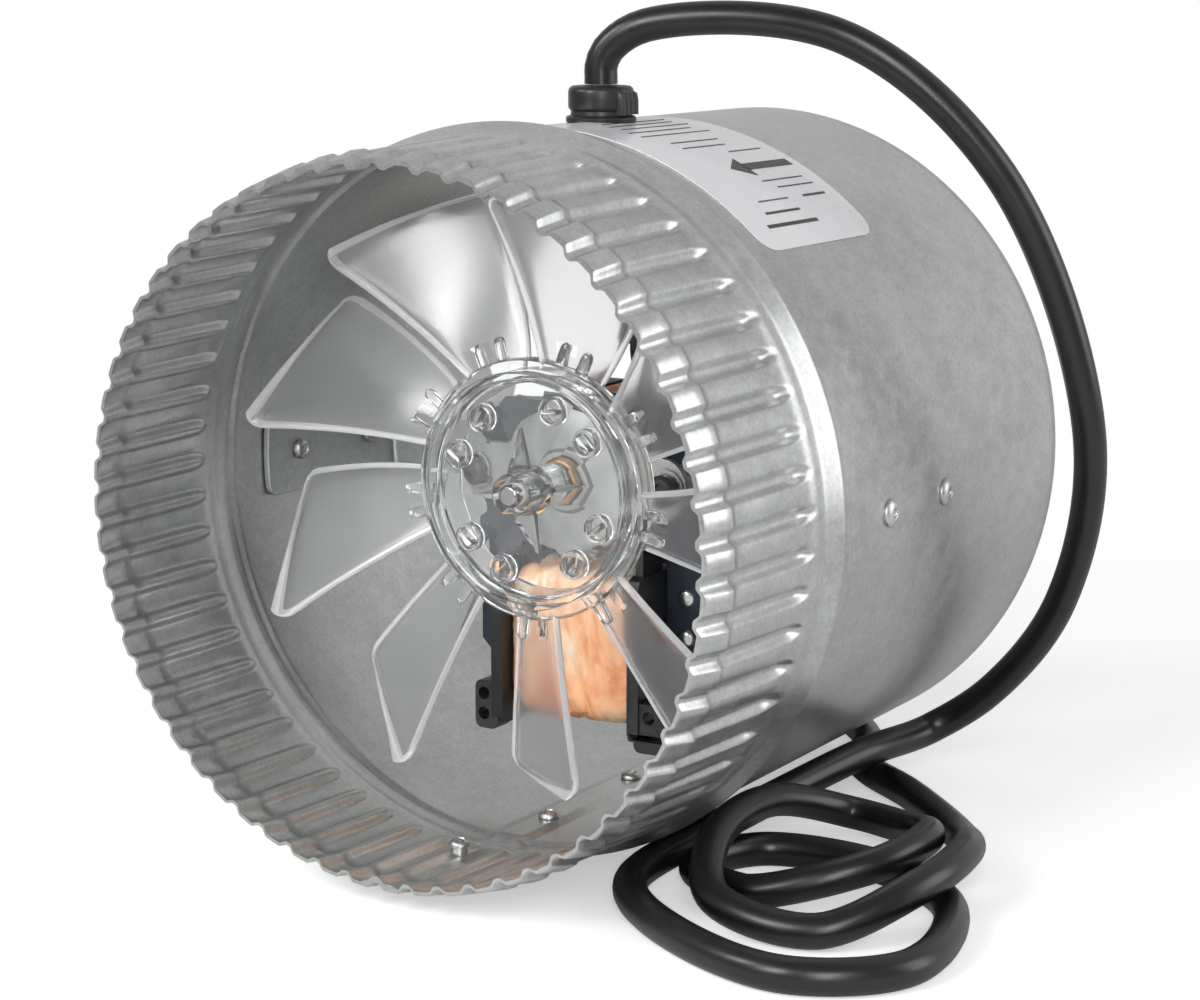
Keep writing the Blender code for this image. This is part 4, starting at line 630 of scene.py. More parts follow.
def build_coil():
    """Wound coil wrapped in tape: full in the middle, and wrinkled where the tape overlaps."""
    shape = bmesh.new()
    rings = []
    for x in even(-COIL_HALF, COIL_HALF, 45):
        full = (1 - (abs(x) / (COIL_HALF + 0.6)) ** 5) ** 0.5
        ring = []
        halves = [end + swell * full for end, swell in zip(COIL_ENDS, COIL_SWELL)]
        for a, b in dense(rounded(*halves, COIL_CORNER, COIL_STEPS), COIL_STEPS + 1, 18):
            out = Vector((a, b)).normalized()
            fold = noise.noise(Vector((x * 0.55 + 0.05 * b, a * 0.16, b * 0.1)))
            crease = abs(noise.noise(Vector((x * 0.3, a * 0.12 + 7.0, b * 0.22))))
            lift = FOLD_HEIGHT * fold
            lift -= CREASE_DEPTH * max(0.0, CREASE_WIDTH - crease) / CREASE_WIDTH * full
            station, height = BAR_STATION + a + out.x * lift, WINDOW_CENTRE + b + out.y * lift
            ring.append(on_axis(x, station, height))
        rings.append(ring)
    loft(shape, rings)
    add_piece("taped_coil", shape, "coil_tape", "coil_winding", sharp=80.0)


def dense(outline, corner, parts):
    """The same outline with the straight run after each corner's points divided."""
    points = []
    for i, (a, b) in enumerate(outline):
        c, d = outline[(i + 1) % len(outline)]
        count = parts if i % corner == corner - 1 else 1
        points += [(a + (c - a) * k / count, b + (d - b) * k / count) for k in range(count)]
    return points


# Sides of the shading loop, half of its length, its corner and its rod
LOOP_OUTER = Vector((-9.75, 0.0, 14.0))
LOOP_INNER = Vector((-1.5, 0.0, 16.7))
LOOP_HALF = 12.9
LOOP_CORNER = 2.2
LOOP_ROD = 1.1


def build_shading_ring(name, node, side):
    """Closed loop of bare copper rod through the stack and round a pole tip."""
    outer = LOOP_OUTER * side
    inner = LOOP_INNER * side
    middle = (outer + inner) / 2
    along = (inner - outer).normalized()
    points = []
    for a, b in rounded((inner - outer).length / 2, LOOP_HALF, LOOP_CORNER):
        point = middle + along * a
        points.append(on_axis(point.x, BAR_STATION + b, point.z))
    settle(tube(name, points, LOOP_ROD, "copper", 4, closed=True), "copper", node)


# (radius, station) of a front head, and where the rivets are
CORE_RIVET = ((0.2, 79.0), (1.3, 79.1), (1.9, 79.5), (2.1, 80.1))
CORE_RIVET_OUT = 24.1
CORE_RIVET_DROPS = (25.5, 34.5)


def build_core_rivets():
    """Domed heads of the rivets that hold the laminations together."""
    shape = bmesh.new()
    rear = [(radius, 2 * BAR_STATION - station) for radius, station in CORE_RIVET]
    for side in (-1, 1):
        for drop in CORE_RIVET_DROPS:
            for head in (CORE_RIVET, rear):
                lathe(shape, head, 20, side * CORE_RIVET_OUT, -drop, solid=True)
    add_piece("core_rivets", shape, "bright_steel")


def build_motor():
    for node in ("stator_core", "stator_bar"):
        frame["nodes"][node].material_slots[0].material = materials["lamination_steel"]
    build_coil()
    build_core_rivets()
    build_shading_ring("shading_loop_upper", "shading_ring_1", 1)
    build_shading_ring("shading_loop_lower", "shading_ring_2", -1)
    finished("bobbin", "spool", "black_nylon", 0.3)
    for end in ("front", "rear"):
        finished(f"bearing_bracket_{end}", f"{end}_end_bracket", "cast_bracket", 0.4)
    for end in ("front", "rear"):
        finished(f"bearing_{end}", f"{end}_bush", "bronze", 0.2)
    for number in (1, 2):
        finished(f"motor_screw_{number}", f"cap_screw_{number}", "black_screw", 0.15)
        finished(f"motor_washer_{number}", f"flat_washer_{number}", "washer_steel", 0.12)
        finished(f"grommet_{number}", f"rubber_grommet_{number}", "black_rubber", 0.4)
        finished(f"motor_nut_{number}", f"hex_nut_{number}", "bright_steel", 0.2)


def build_rotor():
    finished("shaft", "drive_shaft", "bright_steel", 0.2, "rotor")
    finished("rotor_core", "rotor_stack", "rotor_steel", 0.2, "rotor")
    for end in ("front", "rear"):
        finished(f"end_ring_{end}", f"cast_ring_{end}", "rotor_alloy", 0.3, "rotor")
        finished(f"thrust_washer_{end}", f"slip_washer_{end}", "black_nylon", 0.1, "rotor")


# Impeller: a clear hub with nine frosted blades


# (radius, station) round the hub's section
HUB = (
    (2.7, 46.9), (4.2, 46.8), (4.6, 47.2), (4.6, 54.3), (5.3, 55.0), (22.8, 55.0), (23.5, 54.7),
    (23.7, 54.0), (23.7, 52.0), (24.1, 51.5), (25.2, 51.5), (25.6, 52.0), (25.6, 54.4),
    (27.7, 54.4), (28.2, 54.9), (28.2, 57.5), (27.7, 58.0), (25.6, 58.0), (25.6, 63.5),
    (25.2, 64.0), (24.1, 64.0), (23.7, 63.5), (23.7, 57.4), (23.1, 56.8), (5.2, 56.8),
    (4.6, 57.4), (4.6, 64.6), (4.2, 65.0), (2.7, 64.9),
)
COLLAR = 28.2
BLADES = 9
PITCH = 2 * pi / BLADES
BLADE_FIRST = radians(30.0)
BLADE_ROOT = 25.1
BLADE_TIP = 64.0
BLADE_SPREAD = radians(28.5)
BLADE_SWEEP = radians(6.5)
BLADE_CORNER = 4.0
# Depth and middle station at the root, what each gains or loses by the tip, and the power of that
BLADE_DEPTH = (3.5, 19.5, 0.8)
BLADE_STATION = (57.7, 8.3, 1.6)
BLADE_HALF = 0.6
BLADE_RIM = 0.3
BLADE_RIM_WIDTH = 1.6
# Shares of the span and of the chord at which a blade is cut
BLADE_SHARES = [*even(0.0, 0.88, 14), 0.91, 0.935, 0.955, 0.97]
BLADE_TURNS = (0.0, 0.03, 0.07, 0.13, 0.22, 0.34, 0.5, 0.66, 0.78, 0.87, 0.93, 0.97, 1.0)
# (distance from the tip, share of the thickness) of the cuts that round it
BLADE_ROUNDING = ((0.7, 0.97), (0.42, 0.85), (0.2, 0.64), (0.05, 0.34))
# Widths of the pale rim, a painted edge highlight, along a blade's edges and along its tip
HIGHLIGHT_EDGE_WIDTH = 0.8
HIGHLIGHT_TIP_WIDTH = 1.2


def blade_point(share, turn, phase):
    """Middle surface of a blade. share runs root to tip, and turn leading to trailing edge."""
    radius = BLADE_ROOT + share * (BLADE_TIP - BLADE_ROOT)
    length = BLADE_CORNER / (BLADE_TIP - BLADE_ROOT)
    past = max(0.0, (share - (1 - length)) / length)
    spread = BLADE_SPREAD - 2 * BLADE_CORNER * (1 - sqrt(max(0.0, 1 - past**2))) / radius
    root, gain, power = BLADE_DEPTH
    depth = root + gain * share**power
    root, loss, power = BLADE_STATION
    middle = root - loss * share**power
    cup = share * (1 - (2 * turn - 1) ** 2)
    angle = phase + BLADE_SWEEP * share + spread * (turn - 0.5)
    return around(radius, angle, middle + depth * (0.5 - turn) + cup)


def blade_ring(share, rounding, phase):
    """Section of a blade at one radius: two faces that thicken to a full round at each edge."""
    step = 0.01
    clear_of_corner = 0.85
    near = min(max(share, step), clear_of_corner)
    chord = (blade_point(share, 1.0, phase) - blade_point(share, 0.0, phase)).length
    edge = (BLADE_HALF + BLADE_RIM) * rounding * MM
    inset = edge / chord
    faces = []
    for turn in [inset + (1 - 2 * inset) * t for t in BLADE_TURNS]:
        along = blade_point(near + step, turn, phase) - blade_point(near - step, turn, phase)
        across = blade_point(share, turn + step, phase) - blade_point(share, turn - step, phase)
        off = min(turn, 1 - turn) * chord / MM
        tip = (1 - share) * (BLADE_TIP - BLADE_ROOT)
        rim = max(exp(-((off / BLADE_RIM_WIDTH) ** 2)), exp(-((tip / BLADE_RIM_WIDTH) ** 2)))
        half = (BLADE_HALF + BLADE_RIM * rim) * rounding * MM
        normal = along.cross(across).normalized() * half
        faces.append((blade_point(share, turn, phase), normal, across.normalized()))
    front = [point + normal for point, normal, _ in faces]
    back = [point - normal for point, normal, _ in faces]
    return front + bend(faces[-1], edge, 1) + back[::-1] + bend(faces[0], edge, -1)


def bend(face, edge, side):
    """Points round one edge, from the front face to the back or the other way."""
    point, normal, across = face
    out = across * edge * side
    turns = [radians(turn) for turn in (45.0, 90.0, 135.0)]
    return [point + normal * side * cos(turn) + out * sin(turn) for turn in turns]


def blade_solid(shape, phase):
    rings = [blade_ring(share, 1.0, phase) for share in BLADE_SHARES]
    for left, rounding in BLADE_ROUNDING:
        rings.append(blade_ring(1 - left / (BLADE_TIP - BLADE_ROOT), rounding, phase))
    loft(shape, rings)


FIN_FIRST = radians(9.0)
# (radius, front station, half of the foot's thickness) of a gusset's sections
FIN = ((3.6, 47.4, 1.15), (6.0, 48.9, 0.95), (10.0, 51.7, 0.6), (13.5, 54.4, 0.25))
FIN_TAPER = 0.55
FIN_FOOT = 55.6


def fin(shape, angle):
    """A pointed gusset from the boss down to the web."""
    side = outward(angle)[1]
    rings = []
    for radius, front, half in FIN:
        corners = ((front, -FIN_TAPER), (front, FIN_TAPER), (FIN_FOOT, 1.0), (FIN_FOOT, -1.0))
        rings.append([around(radius, angle, place) + side * half * k * MM for place, k in corners])
    loft(shape, rings)


LUG_STATION = 56.2
LUG_TURN = radians(5.0)
# (radius, half of the thickness) of a lug's sections, and the space that holds it all
LUG = ((27.2, 1.2), (31.6, 1.1), (32.7, 0.85), (33.1, 0.45))
LUG_REACH = 33.2
LUG_DEPTH = 1.25
LUG_ACROSS = 1.35


def lug(shape, angle):
    """A small square bar that stands out from the collar, with its outer end narrowed."""
    side = outward(angle)[1]
    outline = rounded(1.0, 1.0, 0.35, 2)
    rings = []
    for reach, half in LUG:
        middle = around(reach, angle, LUG_STATION)
        rings.append([middle + (ALONG * a + side * b) * half * MM for a, b in outline])
    loft(shape, rings)


# (place round the hub, lean of the bar) of each cup on the web, in degrees
POCKETS = ((38, -45), (70, 0), (128, 58), (160, -38), (218, -38), (250, 88), (308, 78), (340, 40))
POCKET_OUT = 18.7
# (radius, station) round the cup's wall, and (station, half length) of the bar's sections
CUP = ((3.1, 55.5), (3.1, 53.1), (2.95, 52.8), (2.55, 52.8), (2.4, 53.1), (2.4, 55.5))
BAR = ((55.4, 2.2), (52.2, 2.1), (51.8, 1.9))
BAR_HALF = 0.45


def pocket(shape, angle, lean):
    """A shallow round cup on the web with a slanted bar in it."""
    x, height = POCKET_OUT * cos(angle), POCKET_OUT * sin(angle)
    lathe(shape, CUP, 28, x, height)
    run, side = outward(lean)
    rings = []
    for station, half in BAR:
        middle = on_axis(x, station, height)
        outline = rounded(half, BAR_HALF, 0.35, 2)
        rings.append([middle + (run * a + side * b) * MM for a, b in outline])
    loft(shape, rings)


def joined(parts, surface):
    """One object from (function, its values) of each part, united by one exact Boolean."""
    made = []
    for number, (build, *values) in enumerate(parts):
        shape = bmesh.new()
        build(shape, *values)
        made.append(add_mesh(f"wheel_{number}", shape, surface))
    base, *others = made
    group = bpy.data.collections.new("joined")
    bpy.context.scene.collection.children.link(group)
    for other in others:
        bpy.context.scene.collection.objects.unlink(other)
        group.objects.link(other)
    step = base.modifiers.new("Join", "BOOLEAN")
    step.operation = "UNION"
    step.operand_type = "COLLECTION"
    step.collection = group
    step.solver = "EXACT"
    graph = bpy.context.evaluated_depsgraph_get()
    mesh = bpy.data.meshes.new_from_object(base.evaluated_get(graph))
    for other in others:
        bpy.data.objects.remove(other, do_unlink=True)
    bpy.data.collections.remove(group)
    base.modifiers.clear()
    base.data = mesh
    return base


def build_impeller():
    parts = [(lathe, HUB, 120)]
    for i in range(BLADES):
        phase = BLADE_FIRST + i * PITCH
        parts += [(blade_solid, phase), (lug, phase - LUG_TURN), (lug, phase + LUG_TURN)]
    parts += [(fin, FIN_FIRST + i * pi / 2) for i in range(4)]
    parts += [(pocket, radians(angle), radians(lean)) for angle, lean in POCKETS]
    wheel = joined(parts, materials["clear_plastic"])
    wheel.name = "fan_wheel"
    mesh = wheel.data
    mesh.materials.append(materials["frosted_plastic"])
    # Third slot: the painted edge highlight on the blade rims
    mesh.materials.append(materials["painted_edge_highlight"])
    for face in mesh.polygons:
        face.material_index = wheel_finish_and_edge_highlight(face.center)
    mesh.shade_smooth()
    mesh.set_sharp_from_angle(angle=radians(38.0))
    settle(wheel, "clear_plastic", "impeller", body="rotor")


def wheel_finish_and_edge_highlight(point):
    """0 on the clear hub, 1 on the frosted blades and 2 on their pale rims, which carry a painted
    edge highlight.
    """
    height = point.z - AXIS_HEIGHT
    radius = hypot(point.x, height) / MM
    angle = atan2(height, point.x) - BLADE_FIRST
    if radius < COLLAR + 0.1 or in_lug(radius, angle, point.y):
        return 0
    share = (radius - BLADE_ROOT) / (BLADE_TIP - BLADE_ROOT)
    off = off_blade(angle - BLADE_SWEEP * share) * radius
    half = (blade_point(share, 1.0, 0.0) - blade_point(share, 0.0, 0.0)).xz.length / MM / 2
    # Faces within these widths of a blade's edges or tip get the painted edge highlight
    return 2 if off > half - HIGHLIGHT_EDGE_WIDTH or radius > BLADE_TIP - HIGHLIGHT_TIP_WIDTH else 1


def in_lug(radius, angle, y):
    """True on the lugs, which stay clear. The angle is from the first blade."""
    across = abs(off_blade(angle) - LUG_TURN) * radius
    return radius < LUG_REACH and abs(y - at(LUG_STATION)) < LUG_DEPTH * MM and across < LUG_ACROSS


def off_blade(angle):
    """Angle from the middle of the nearest blade, for an angle from that of the first."""
    return abs((angle + PITCH / 2) % PITCH - PITCH / 2)


# Strain relief and label


GLAND_STATION = 84.0
# (radius, height above the duct axis) round the bushing's section
BUSHING = (
    (3.9, 72.0), (5.0, 71.3), (6.8, 74.2), (6.8, 74.7), (5.6, 74.9), (5.6, 76.0), (7.3, 76.0),
    (7.6, 76.4), (7.6, 77.2), (7.3, 77.5), (6.6, 77.7), (6.5, 78.6), (6.9, 79.0), (7.1, 79.4),
    (7.1, 82.7), (6.9, 83.4), (6.3, 83.9), (5.5, 84.0), (4.1, 84.0), (3.8, 83.7),
)
# (height, reach, half of the thickness) of a rib's sections on the wedge
RIB = ((77.9, 7.6, 0.72), (80.8, 7.6, 0.72), (82.4, 7.276, 0.72), (83.2, 5.836, 0.5))
RIB_PITCH = 1.75
RIB_HALF = 1.9
# (height, reach) of the wedge's sections
WEDGE = ((77.9, 6.6), (82.2, 6.6), (82.9, 6.0))
WEDGE_HALF = 3.2


def build_strain_relief():
    """Two-part bushing: a flanged body, and a ribbed wedge that grips the cord."""
    shape = bmesh.new()
    rings = []
    for radius, height in BUSHING:
        outline = [(radius * cos(t), GLAND_STATION + radius * sin(t)) for t in circle(56)]
        rings.append(level_ring(outline, height))
    skin(shape, rings)
    add_piece("cord_bushing", shape, "black_nylon", "strain_relief_body")
    shape = bmesh.new()
    for i in (-1.5, -0.5, 0.5, 1.5):
        rings = []
        for height, reach, half in RIB:
            centre = (reach - RIB_HALF, GLAND_STATION + i * RIB_PITCH)
            outline = rounded(RIB_HALF, half, 0.45, 3, centre)
            rings.append(level_ring(outline, height))
        loft(shape, rings)
    rings = []
    for height, reach in WEDGE:
        centre = (reach / 2 + RIB_HALF, GLAND_STATION)
        outline = rounded(reach / 2 - RIB_HALF, WEDGE_HALF, 0.5, 3, centre)
        rings.append(level_ring(outline, height))
    loft(shape, rings)
    add_piece("bushing_wedge", shape, "black_nylon", "strain_relief_wedge")


LABEL_LOW = radians(44.0)
LABEL_FIRST = 57.5
LABEL_WIDTH = 49.5
LABEL_HEIGHT = 61.0
LABEL_CORNER = 5.0
# Distances in from a rounded edge at which the label is cut
LABEL_CUTS = (0.0, 0.15, 0.5, 1.1, 2.0, 3.2, LABEL_CORNER)
# Heights of the faces above the sheet, for the film and for the ink
FILM = (0.26, 0.06)
PRINT = (0.36, 0.24)
# (run, rise) of the arrow's outline
ARROW = (
    (20.0, 24.5), (26.5, 28.0), (26.5, 25.7), (46.0, 25.7), (46.0, 23.3), (26.5, 23.3),
    (26.5, 21.0),
)
# (rise, start, end, half of the thickness) of each rule on the label
RULES = (
    (6.0, 8.0, 30.0, 0.45), (9.5, 12.0, 27.0, 0.3), (13.0, 14.0, 27.0, 0.15),
    (13.0, 34.0, 44.0, 0.3), (16.5, 28.0, 44.0, 0.15), (19.0, 25.0, 43.0, 0.15),
    (31.0, 30.0, 44.0, 0.15), (34.5, 16.0, 34.0, 0.15), (37.5, 16.0, 36.0, 0.15),
    (42.5, 12.0, 41.0, 0.15), (45.5, 12.0, 38.0, 0.15), (48.5, 14.0, 42.0, 0.15),
    (51.5, 14.0, 40.0, 0.15), (54.5, 16.0, 42.0, 0.15),
)


def label_place(run, rise, lift):
    """A point on the label from its front edge and its lower edge, lifted off the duct."""
    return around(BODY_RADIUS + lift, LABEL_LOW + rise / BODY_RADIUS, LABEL_FIRST + run)


def build_label():
    """Blank curved film with round corners, an arrow along the duct and plain rules."""
    shape = bmesh.new()
    rows = []
    middle = even(LABEL_CORNER + 2.0, LABEL_WIDTH - LABEL_CORNER - 2.0, 12)
    for run in [*LABEL_CUTS, *middle, *(LABEL_WIDTH - cut for cut in LABEL_CUTS[::-1])]:
        off = max(0.0, LABEL_CORNER - min(run, LABEL_WIDTH - run))
        inset = LABEL_CORNER - sqrt(LABEL_CORNER**2 - off**2)
        rises = even(inset, LABEL_HEIGHT - inset, 30)
        ring = [label_place(run, rise, FILM[0]) for rise in rises]
        rows.append(ring + [label_place(run, rise, FILM[1]) for rise in reversed(rises)])
    loft(shape, rows)
    film = len(shape.faces)
    for outline in label_marks():
        loft(shape, [[label_place(run, rise, lift) for run, rise in outline] for lift in PRINT])
    shape.faces.ensure_lookup_table()
    for face in shape.faces[film:]:
        face.material_index = 1
    label = add_piece("duct_label", shape, "label_paper", "label", sharp=60.0)
    label.data.materials.append(materials["label_ink"])


def label_marks():
    """(run, rise) outlines of the arrow and of the plain rules beside it."""
    marks = [ARROW]
    for rise, low, high, half in RULES:
        under, over = rise - half, rise + half
        marks.append([(low, under), (high, under), (high, over), (low, over)])
    return marks


# Cord: the same route as its solids, then the turns of the coil


CORD_RADIUS = 3.6
# (x, station, height above the duct axis) of the cord's free run from the bushing
CORD_ARC = [
    (0.0, 84.0, 84.3), (0.0, 84.0, 86.1), (0.0, 84.0, 87.9), (1.5, 84.4, 91.6), (10.0, 86.0, 96.8),
    (50.7, 97.0, 94.8), (81.5, 111.0, 66.2), (97.2, 126.0, 11.1), (87.0, 139.0, -29.8),
    (67.3, 147.0, -55.2),
]
# (x, station, lift off the floor) of its loose loops, and of its run from the coil to the plug
CORD_LOOPS = [
    (53.6, 144.5, 8.8), (47.6, 120.0, 7.7), (38.6, 94.0, 2.7), (34.4, 66.0, 0.0), (37.5, 33.5, 0.0),
    (60.0, 12.0, 0.0), (88.5, 3.0, 0.0), (106.5, 17.0, 0.0), (99.5, 53.0, 0.0), (76.0, 69.5, 0.0),
    (50.0, 67.5, 0.0), (43.6, 50.0, 0.0), (60.0, 41.0, 0.0), (83.0, 52.0, 6.2), (86.4, 70.0, 7.6),
    (71.6, 92.0, 1.6), (57.0, 96.5, 1.4), (47.6, 78.5, 7.6), (49.8, 47.0, 8.2), (61.0, 27.0, 2.6),
    (83.5, 26.5, 0.3), (96.8, 43.0, 6.6), (97.4, 64.0, 7.8), (83.4, 93.6, 1.6), (61.0, 119.0, 0.0),
    (40.0, 136.5, 0.0), (30.8, 158.0, 0.0), (11.0, 181.0, 0.0), (-1.2, 204.0, 0.0),
    (-3.97, 220.2, 0.0),
]
CORD_END = [
    (-19.4, 243.7, 7.2), (-22.0, 252.0, 5.6), (-29.0, 262.0, 2.9), (-40.0, 268.4, 1.3),
    (-50.0, 270.0, 1.1),
]
# (x, station, height above the duct axis) of its end inside the duct, and of the leads
CORD_TAIL = [
    (0.0, 84.0, 84.0), (0.0, 84.0, 78.0), (0.0, 84.0, 72.0), (0.0, 84.0, 68.4), (2.6, 84.5, 56.0),
    (7.0, 85.0, 44.0), (9.8, 84.2, 34.0), (9.8, 84.2, 31.5), (9.8, 84.2, 29.0),
]
LEAD = [(13.2, 80.0, 22.5), (16.2, 76.6, 16.0), (17.2, 75.9, 2.0), (17.4, 75.8, -8.0)]
LEAD_END = (17.5, 75.8, -13.7)
LEAD_RADIUS = 1.0
# Distance of each lead from the tail's middle, and how far it then spreads
LEAD_OFF = 1.4
LEAD_SPREAD = 0.9
ROUTE_STEP = 2.0
# Stored coil: its centre, its inner radius and how far outside that it starts
STORE_CENTRE = (-52.0, 210.0)
STORE_RADIUS = 38.0
STORE_RUN_IN = 7.5
STORE_LIFT = 1.1
STORE_ENTRY = radians(12.0)
STORE_TURNS = 2.97
STEPS_PER_TURN = 24
# Turns over which it comes in, goes inside the first round, then between the two, and rises
COMES_IN = (0.0, 0.28)
GOES_INSIDE = (0.98, 1.25)
GOES_BETWEEN = (2.0, 2.25)
LEAVES_FLOOR = (0.0, 0.3)
GOES_ON_TOP = (1.86, 2.12)
# Rise of a round that lies on two others, in diameters
NESTED = 0.866


def smooth_route(points):
    """Centripetal Catmull-Rom curve through the points, sampled closely."""
    ends = [points[0] * 2 - points[1]] + points + [points[-1] * 2 - points[-2]]
    samples = []
    for a, b, c, d in zip(ends, ends[1:], ends[2:], ends[3:]):
        before, here, after = (sqrt((q - p).length) for p, q in ((a, b), (b, c), (c, d)))
        leave = (b - a) * (here / before) - (c - a) * (here / (before + here)) + (c - b)
        arrive = (c - b) - (d - b) * (here / (here + after)) + (d - c) * (here / after)
        count = max(2, int((c - b).length / (ROUTE_STEP * MM)))
        for i in range(count):
            t = i / count
            samples.append(
                b * (2 * t**3 - 3 * t**2 + 1)
                + leave * (t**3 - 2 * t**2 + t)
                + c * (3 * t**2 - 2 * t**3)
                + arrive * (t**3 - t**2)
            )
    samples.append(points[-1].copy())
    return samples


def lying(x, station, lift):
    """Middle of the cord where it lies a lift above the floor."""
    return Vector((x * MM, at(station), (CORD_RADIUS + lift) * MM))


def coil_turns():
    """Two turns side by side and a third on top. The first comes in from outside."""
    points = []
    for i in range(1, int(STORE_TURNS * STEPS_PER_TURN)):
        turn = i / STEPS_PER_TURN
        out = 2 * CORD_RADIUS
        radius = STORE_RADIUS + CORD_RADIUS + STORE_RUN_IN * (1 - eased(turn, *COMES_IN))
        radius -= out * eased(turn, *GOES_INSIDE)
        radius += CORD_RADIUS * eased(turn, *GOES_BETWEEN)
        lift = STORE_LIFT * eased(turn, *LEAVES_FLOOR) + out * NESTED * eased(turn, *GOES_ON_TOP)
        angle = STORE_ENTRY + 2 * pi * turn
        x = STORE_CENTRE[0] + radius * cos(angle)
        points.append(lying(x, STORE_CENTRE[1] + radius * sin(angle), lift))
    return points


def tube(name, points, radius, slot, resolution=8, closed=False):
    """A round rod along the points, with flat ends or closed into a loop."""
    curve = bpy.data.curves.new(name, "CURVE")
    curve.dimensions = "3D"
    curve.bevel_depth = radius * MM
    curve.bevel_resolution = resolution
    curve.use_fill_caps = not closed
    spline = curve.splines.new("POLY")
    spline.points.add(len(points) - 1)
    for place, point in zip(spline.points, points):
        place.co = (*point, 1.0)
    spline.use_cyclic_u = closed
    spline.use_smooth = True
    curve.materials.append(materials[slot])
    return placed(name, curve)


def build_cord():
    """The whole cord as one piece, and its route."""
    route = [on_axis(*point) for point in CORD_ARC] + [lying(*point) for point in CORD_LOOPS]
    route = smooth_route(route + coil_turns() + [lying(*point) for point in CORD_END])
    for point in route:
        point.z = max(point.z, CORD_RADIUS * MM)
    cord = tube("power_cord", route, CORD_RADIUS, "cord_jacket")
    settle(cord, "cord_jacket", "cord", "cord_coil", "cord_end")
    return cord, route


def build_tail():
    """Jacketed end of the cord inside the duct, and the two leads from it to the spool."""
    route = smooth_route([on_axis(*point) for point in CORD_TAIL])
    tail = tube("cord_entry", route, CORD_RADIUS, "cord_jacket")
    settle(tail, "cord_jacket", "cord_tail")
    x, station, height = CORD_TAIL[-1]
    for number, side in ((1, -1), (2, 1)):
        route = [(x + side * LEAD_OFF, station, height + 0.5 - drop) for drop in (0.0, 1.3, 2.6)]
        route += [(a + side * LEAD_SPREAD, b + side * LEAD_SPREAD, c) for a, b, c in LEAD]
        route.append((LEAD_END[0], LEAD_END[1] + side * LEAD_OFF, LEAD_END[2]))
        route = smooth_route([on_axis(*point) for point in route])
        wire = tube(f"motor_lead_{number}", route, LEAD_RADIUS, "lead_jacket", 4)
        settle(wire, "lead_jacket", f"lead_{number}")


def build_plug():
    """The plug, its pins and the band round the coil. Returns the pieces that go with the cord."""
    pieces = [finished("plug_body", "plug_moulding", "cord_jacket", 0.6, sharp=25.0)]
    for number in (1, 2, 3):
        pieces.append(finished(f"plug_pin_{number}", f"plug_blade_{number}", "plug_brass", 0.15))
    pieces.append(finished("cord_tie", "coil_band", "black_rubber", 0.2))
    return pieces


# Floor, lamps and background


FLOOR_RADIUS = 1.4
# Distances between which the floor fades, and its own light where the eye sees it
FLOOR_FADE = (0.22, 0.62)
FLOOR_GLOW = 0.45


def build_stage():
    """A white sheet that keeps the shadow and fades into the white background further out."""
    shape = bmesh.new()
    rim = [Vector((FLOOR_RADIUS * cos(t), FLOOR_RADIUS * sin(t), 0.0)) for t in circle(96)]
    shape.faces.new([shape.verts.new(point) for point in rim])
    s = Shader("floor_paper", (0.9, 0.9, 0.9), 0.9, specular_ior_level=0.0)
    floor = add_mesh("floor", shape, s.material)
    if floor.data.polygons[0].normal.z < 0:
        floor.data.flip_normals()
    distance = s.add("ShaderNodeVectorMath", {0: s.place}, operation="LENGTH").outputs["Value"]
    fade = s.level(distance, 0.0, 1.0, *FLOOR_FADE, "SMOOTHSTEP")
    path = s.add("ShaderNodeLightPath").outputs
    seen = s.math("MAXIMUM", path["Is Camera Ray"], path["Is Transmission Ray"])
    open_air = s.math("MAXIMUM", seen, path["Is Glossy Ray"])
    strength = s.math("MULTIPLY", seen, FLOOR_GLOW)
    glow = s.add("ShaderNodeEmission", {"Strength": strength}).outputs[0]
    lit = s.add("ShaderNodeAddShader", {0: s.body.outputs[0], 1: glow}).outputs[0]
    clear = s.add("ShaderNodeBsdfTransparent").outputs[0]
    mixed = s.add("ShaderNodeMixShader", {0: s.math("MULTIPLY", fade, open_air), 1: lit, 2: clear})
    s.tree.links.new(mixed.outputs[0], s.tree.nodes["Material Output"].inputs["Surface"])


# Background light on the object, and its level behind the fan as metal mirrors it
WORLD_LEVEL = 0.3
MIRROR_LEVEL = 0.63
MIRROR_RISE = (-0.35, 0.45)
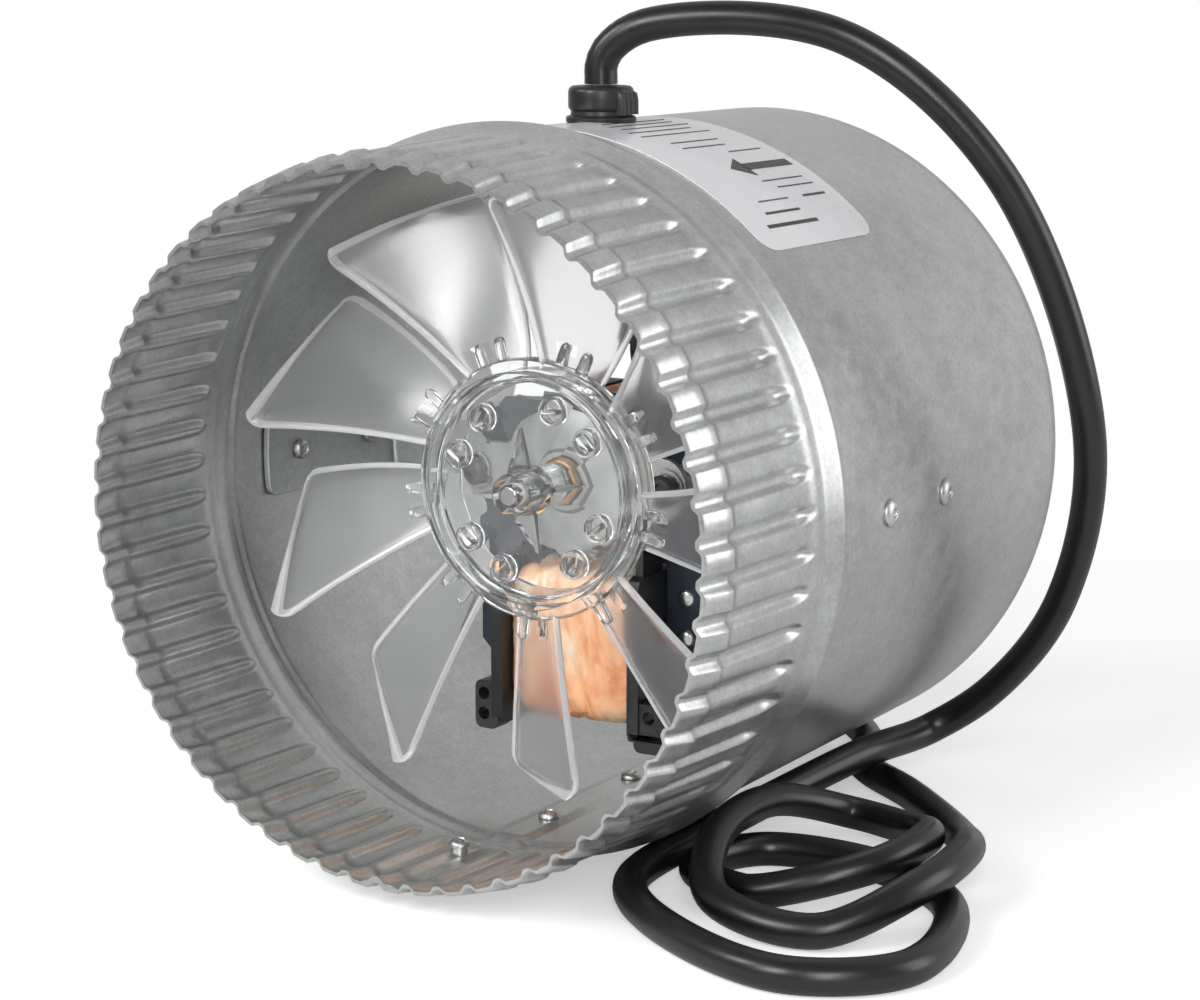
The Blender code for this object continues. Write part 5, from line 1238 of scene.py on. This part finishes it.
# (name, place in metres, width and height in metres, watts)
LAMPS = (
    ("key", (-0.20, -0.98, 0.64), (0.4, 0.4), 5.6),
    ("left", (-0.72, -0.62, 0.71), (0.3, 0.3), 2.8),
    ("front", (0.60, -0.85, 0.62), (0.3, 0.3), 2.5),
    ("strip", (0.60, -0.92, 0.31), (0.12, 0.4), 2.1),
    ("right", (1.0, 0.42, 0.42), (0.65, 0.8), 3.8),
)
LAMP_TARGET = Vector((0.0, 0.0, 0.08))


def build_lamp(name, place, size, power):
    data = bpy.data.lights.new(name, "AREA")
    data.shape = "RECTANGLE"
    data.size, data.size_y = size
    data.energy = power
    turn = (LAMP_TARGET - Vector(place)).to_track_quat("-Z", "Y").to_matrix().to_4x4()
    placed(name, data).matrix_world = Matrix.Translation(place) @ turn


def build_light():
    """White background for the eye and in clear plastic, a dimmer one in metal, and the lamps."""
    world = bpy.data.worlds.new("studio")
    bpy.context.scene.world = world
    world.use_nodes = True
    nodes = Nodes(world.node_tree)
    path = nodes.add("ShaderNodeLightPath").outputs
    place = nodes.add("ShaderNodeTexCoord").outputs["Generated"]
    along = nodes.add("ShaderNodeSeparateXYZ", {0: place}).outputs["Y"]
    behind = nodes.level(along, 0.0, MIRROR_LEVEL, *MIRROR_RISE, "SMOOTHSTEP")
    seen = nodes.math("MAXIMUM", path["Is Camera Ray"], path["Is Transmission Ray"])
    seen = nodes.math("MAXIMUM", seen, nodes.math("MULTIPLY", path["Is Glossy Ray"], behind))
    background = nodes.tree.nodes["Background"]
    background.inputs["Color"].default_value = (1.0, 1.0, 1.0, 1.0)
    nodes.tree.links.new(nodes.math("MAXIMUM", seen, WORLD_LEVEL), background.inputs["Strength"])
    for lamp in LAMPS:
        build_lamp(*lamp)


bpy.context.scene.view_settings.view_transform = "Standard"
build_camera()
materials = build_materials()
cord, cord_route = build_cord()
build_stage()
build_light()
build_housing()
build_rivets()
build_strap()
build_motor()
build_rotor()
build_impeller()
build_strain_relief()
build_label()
build_tail()
plug = build_plug()
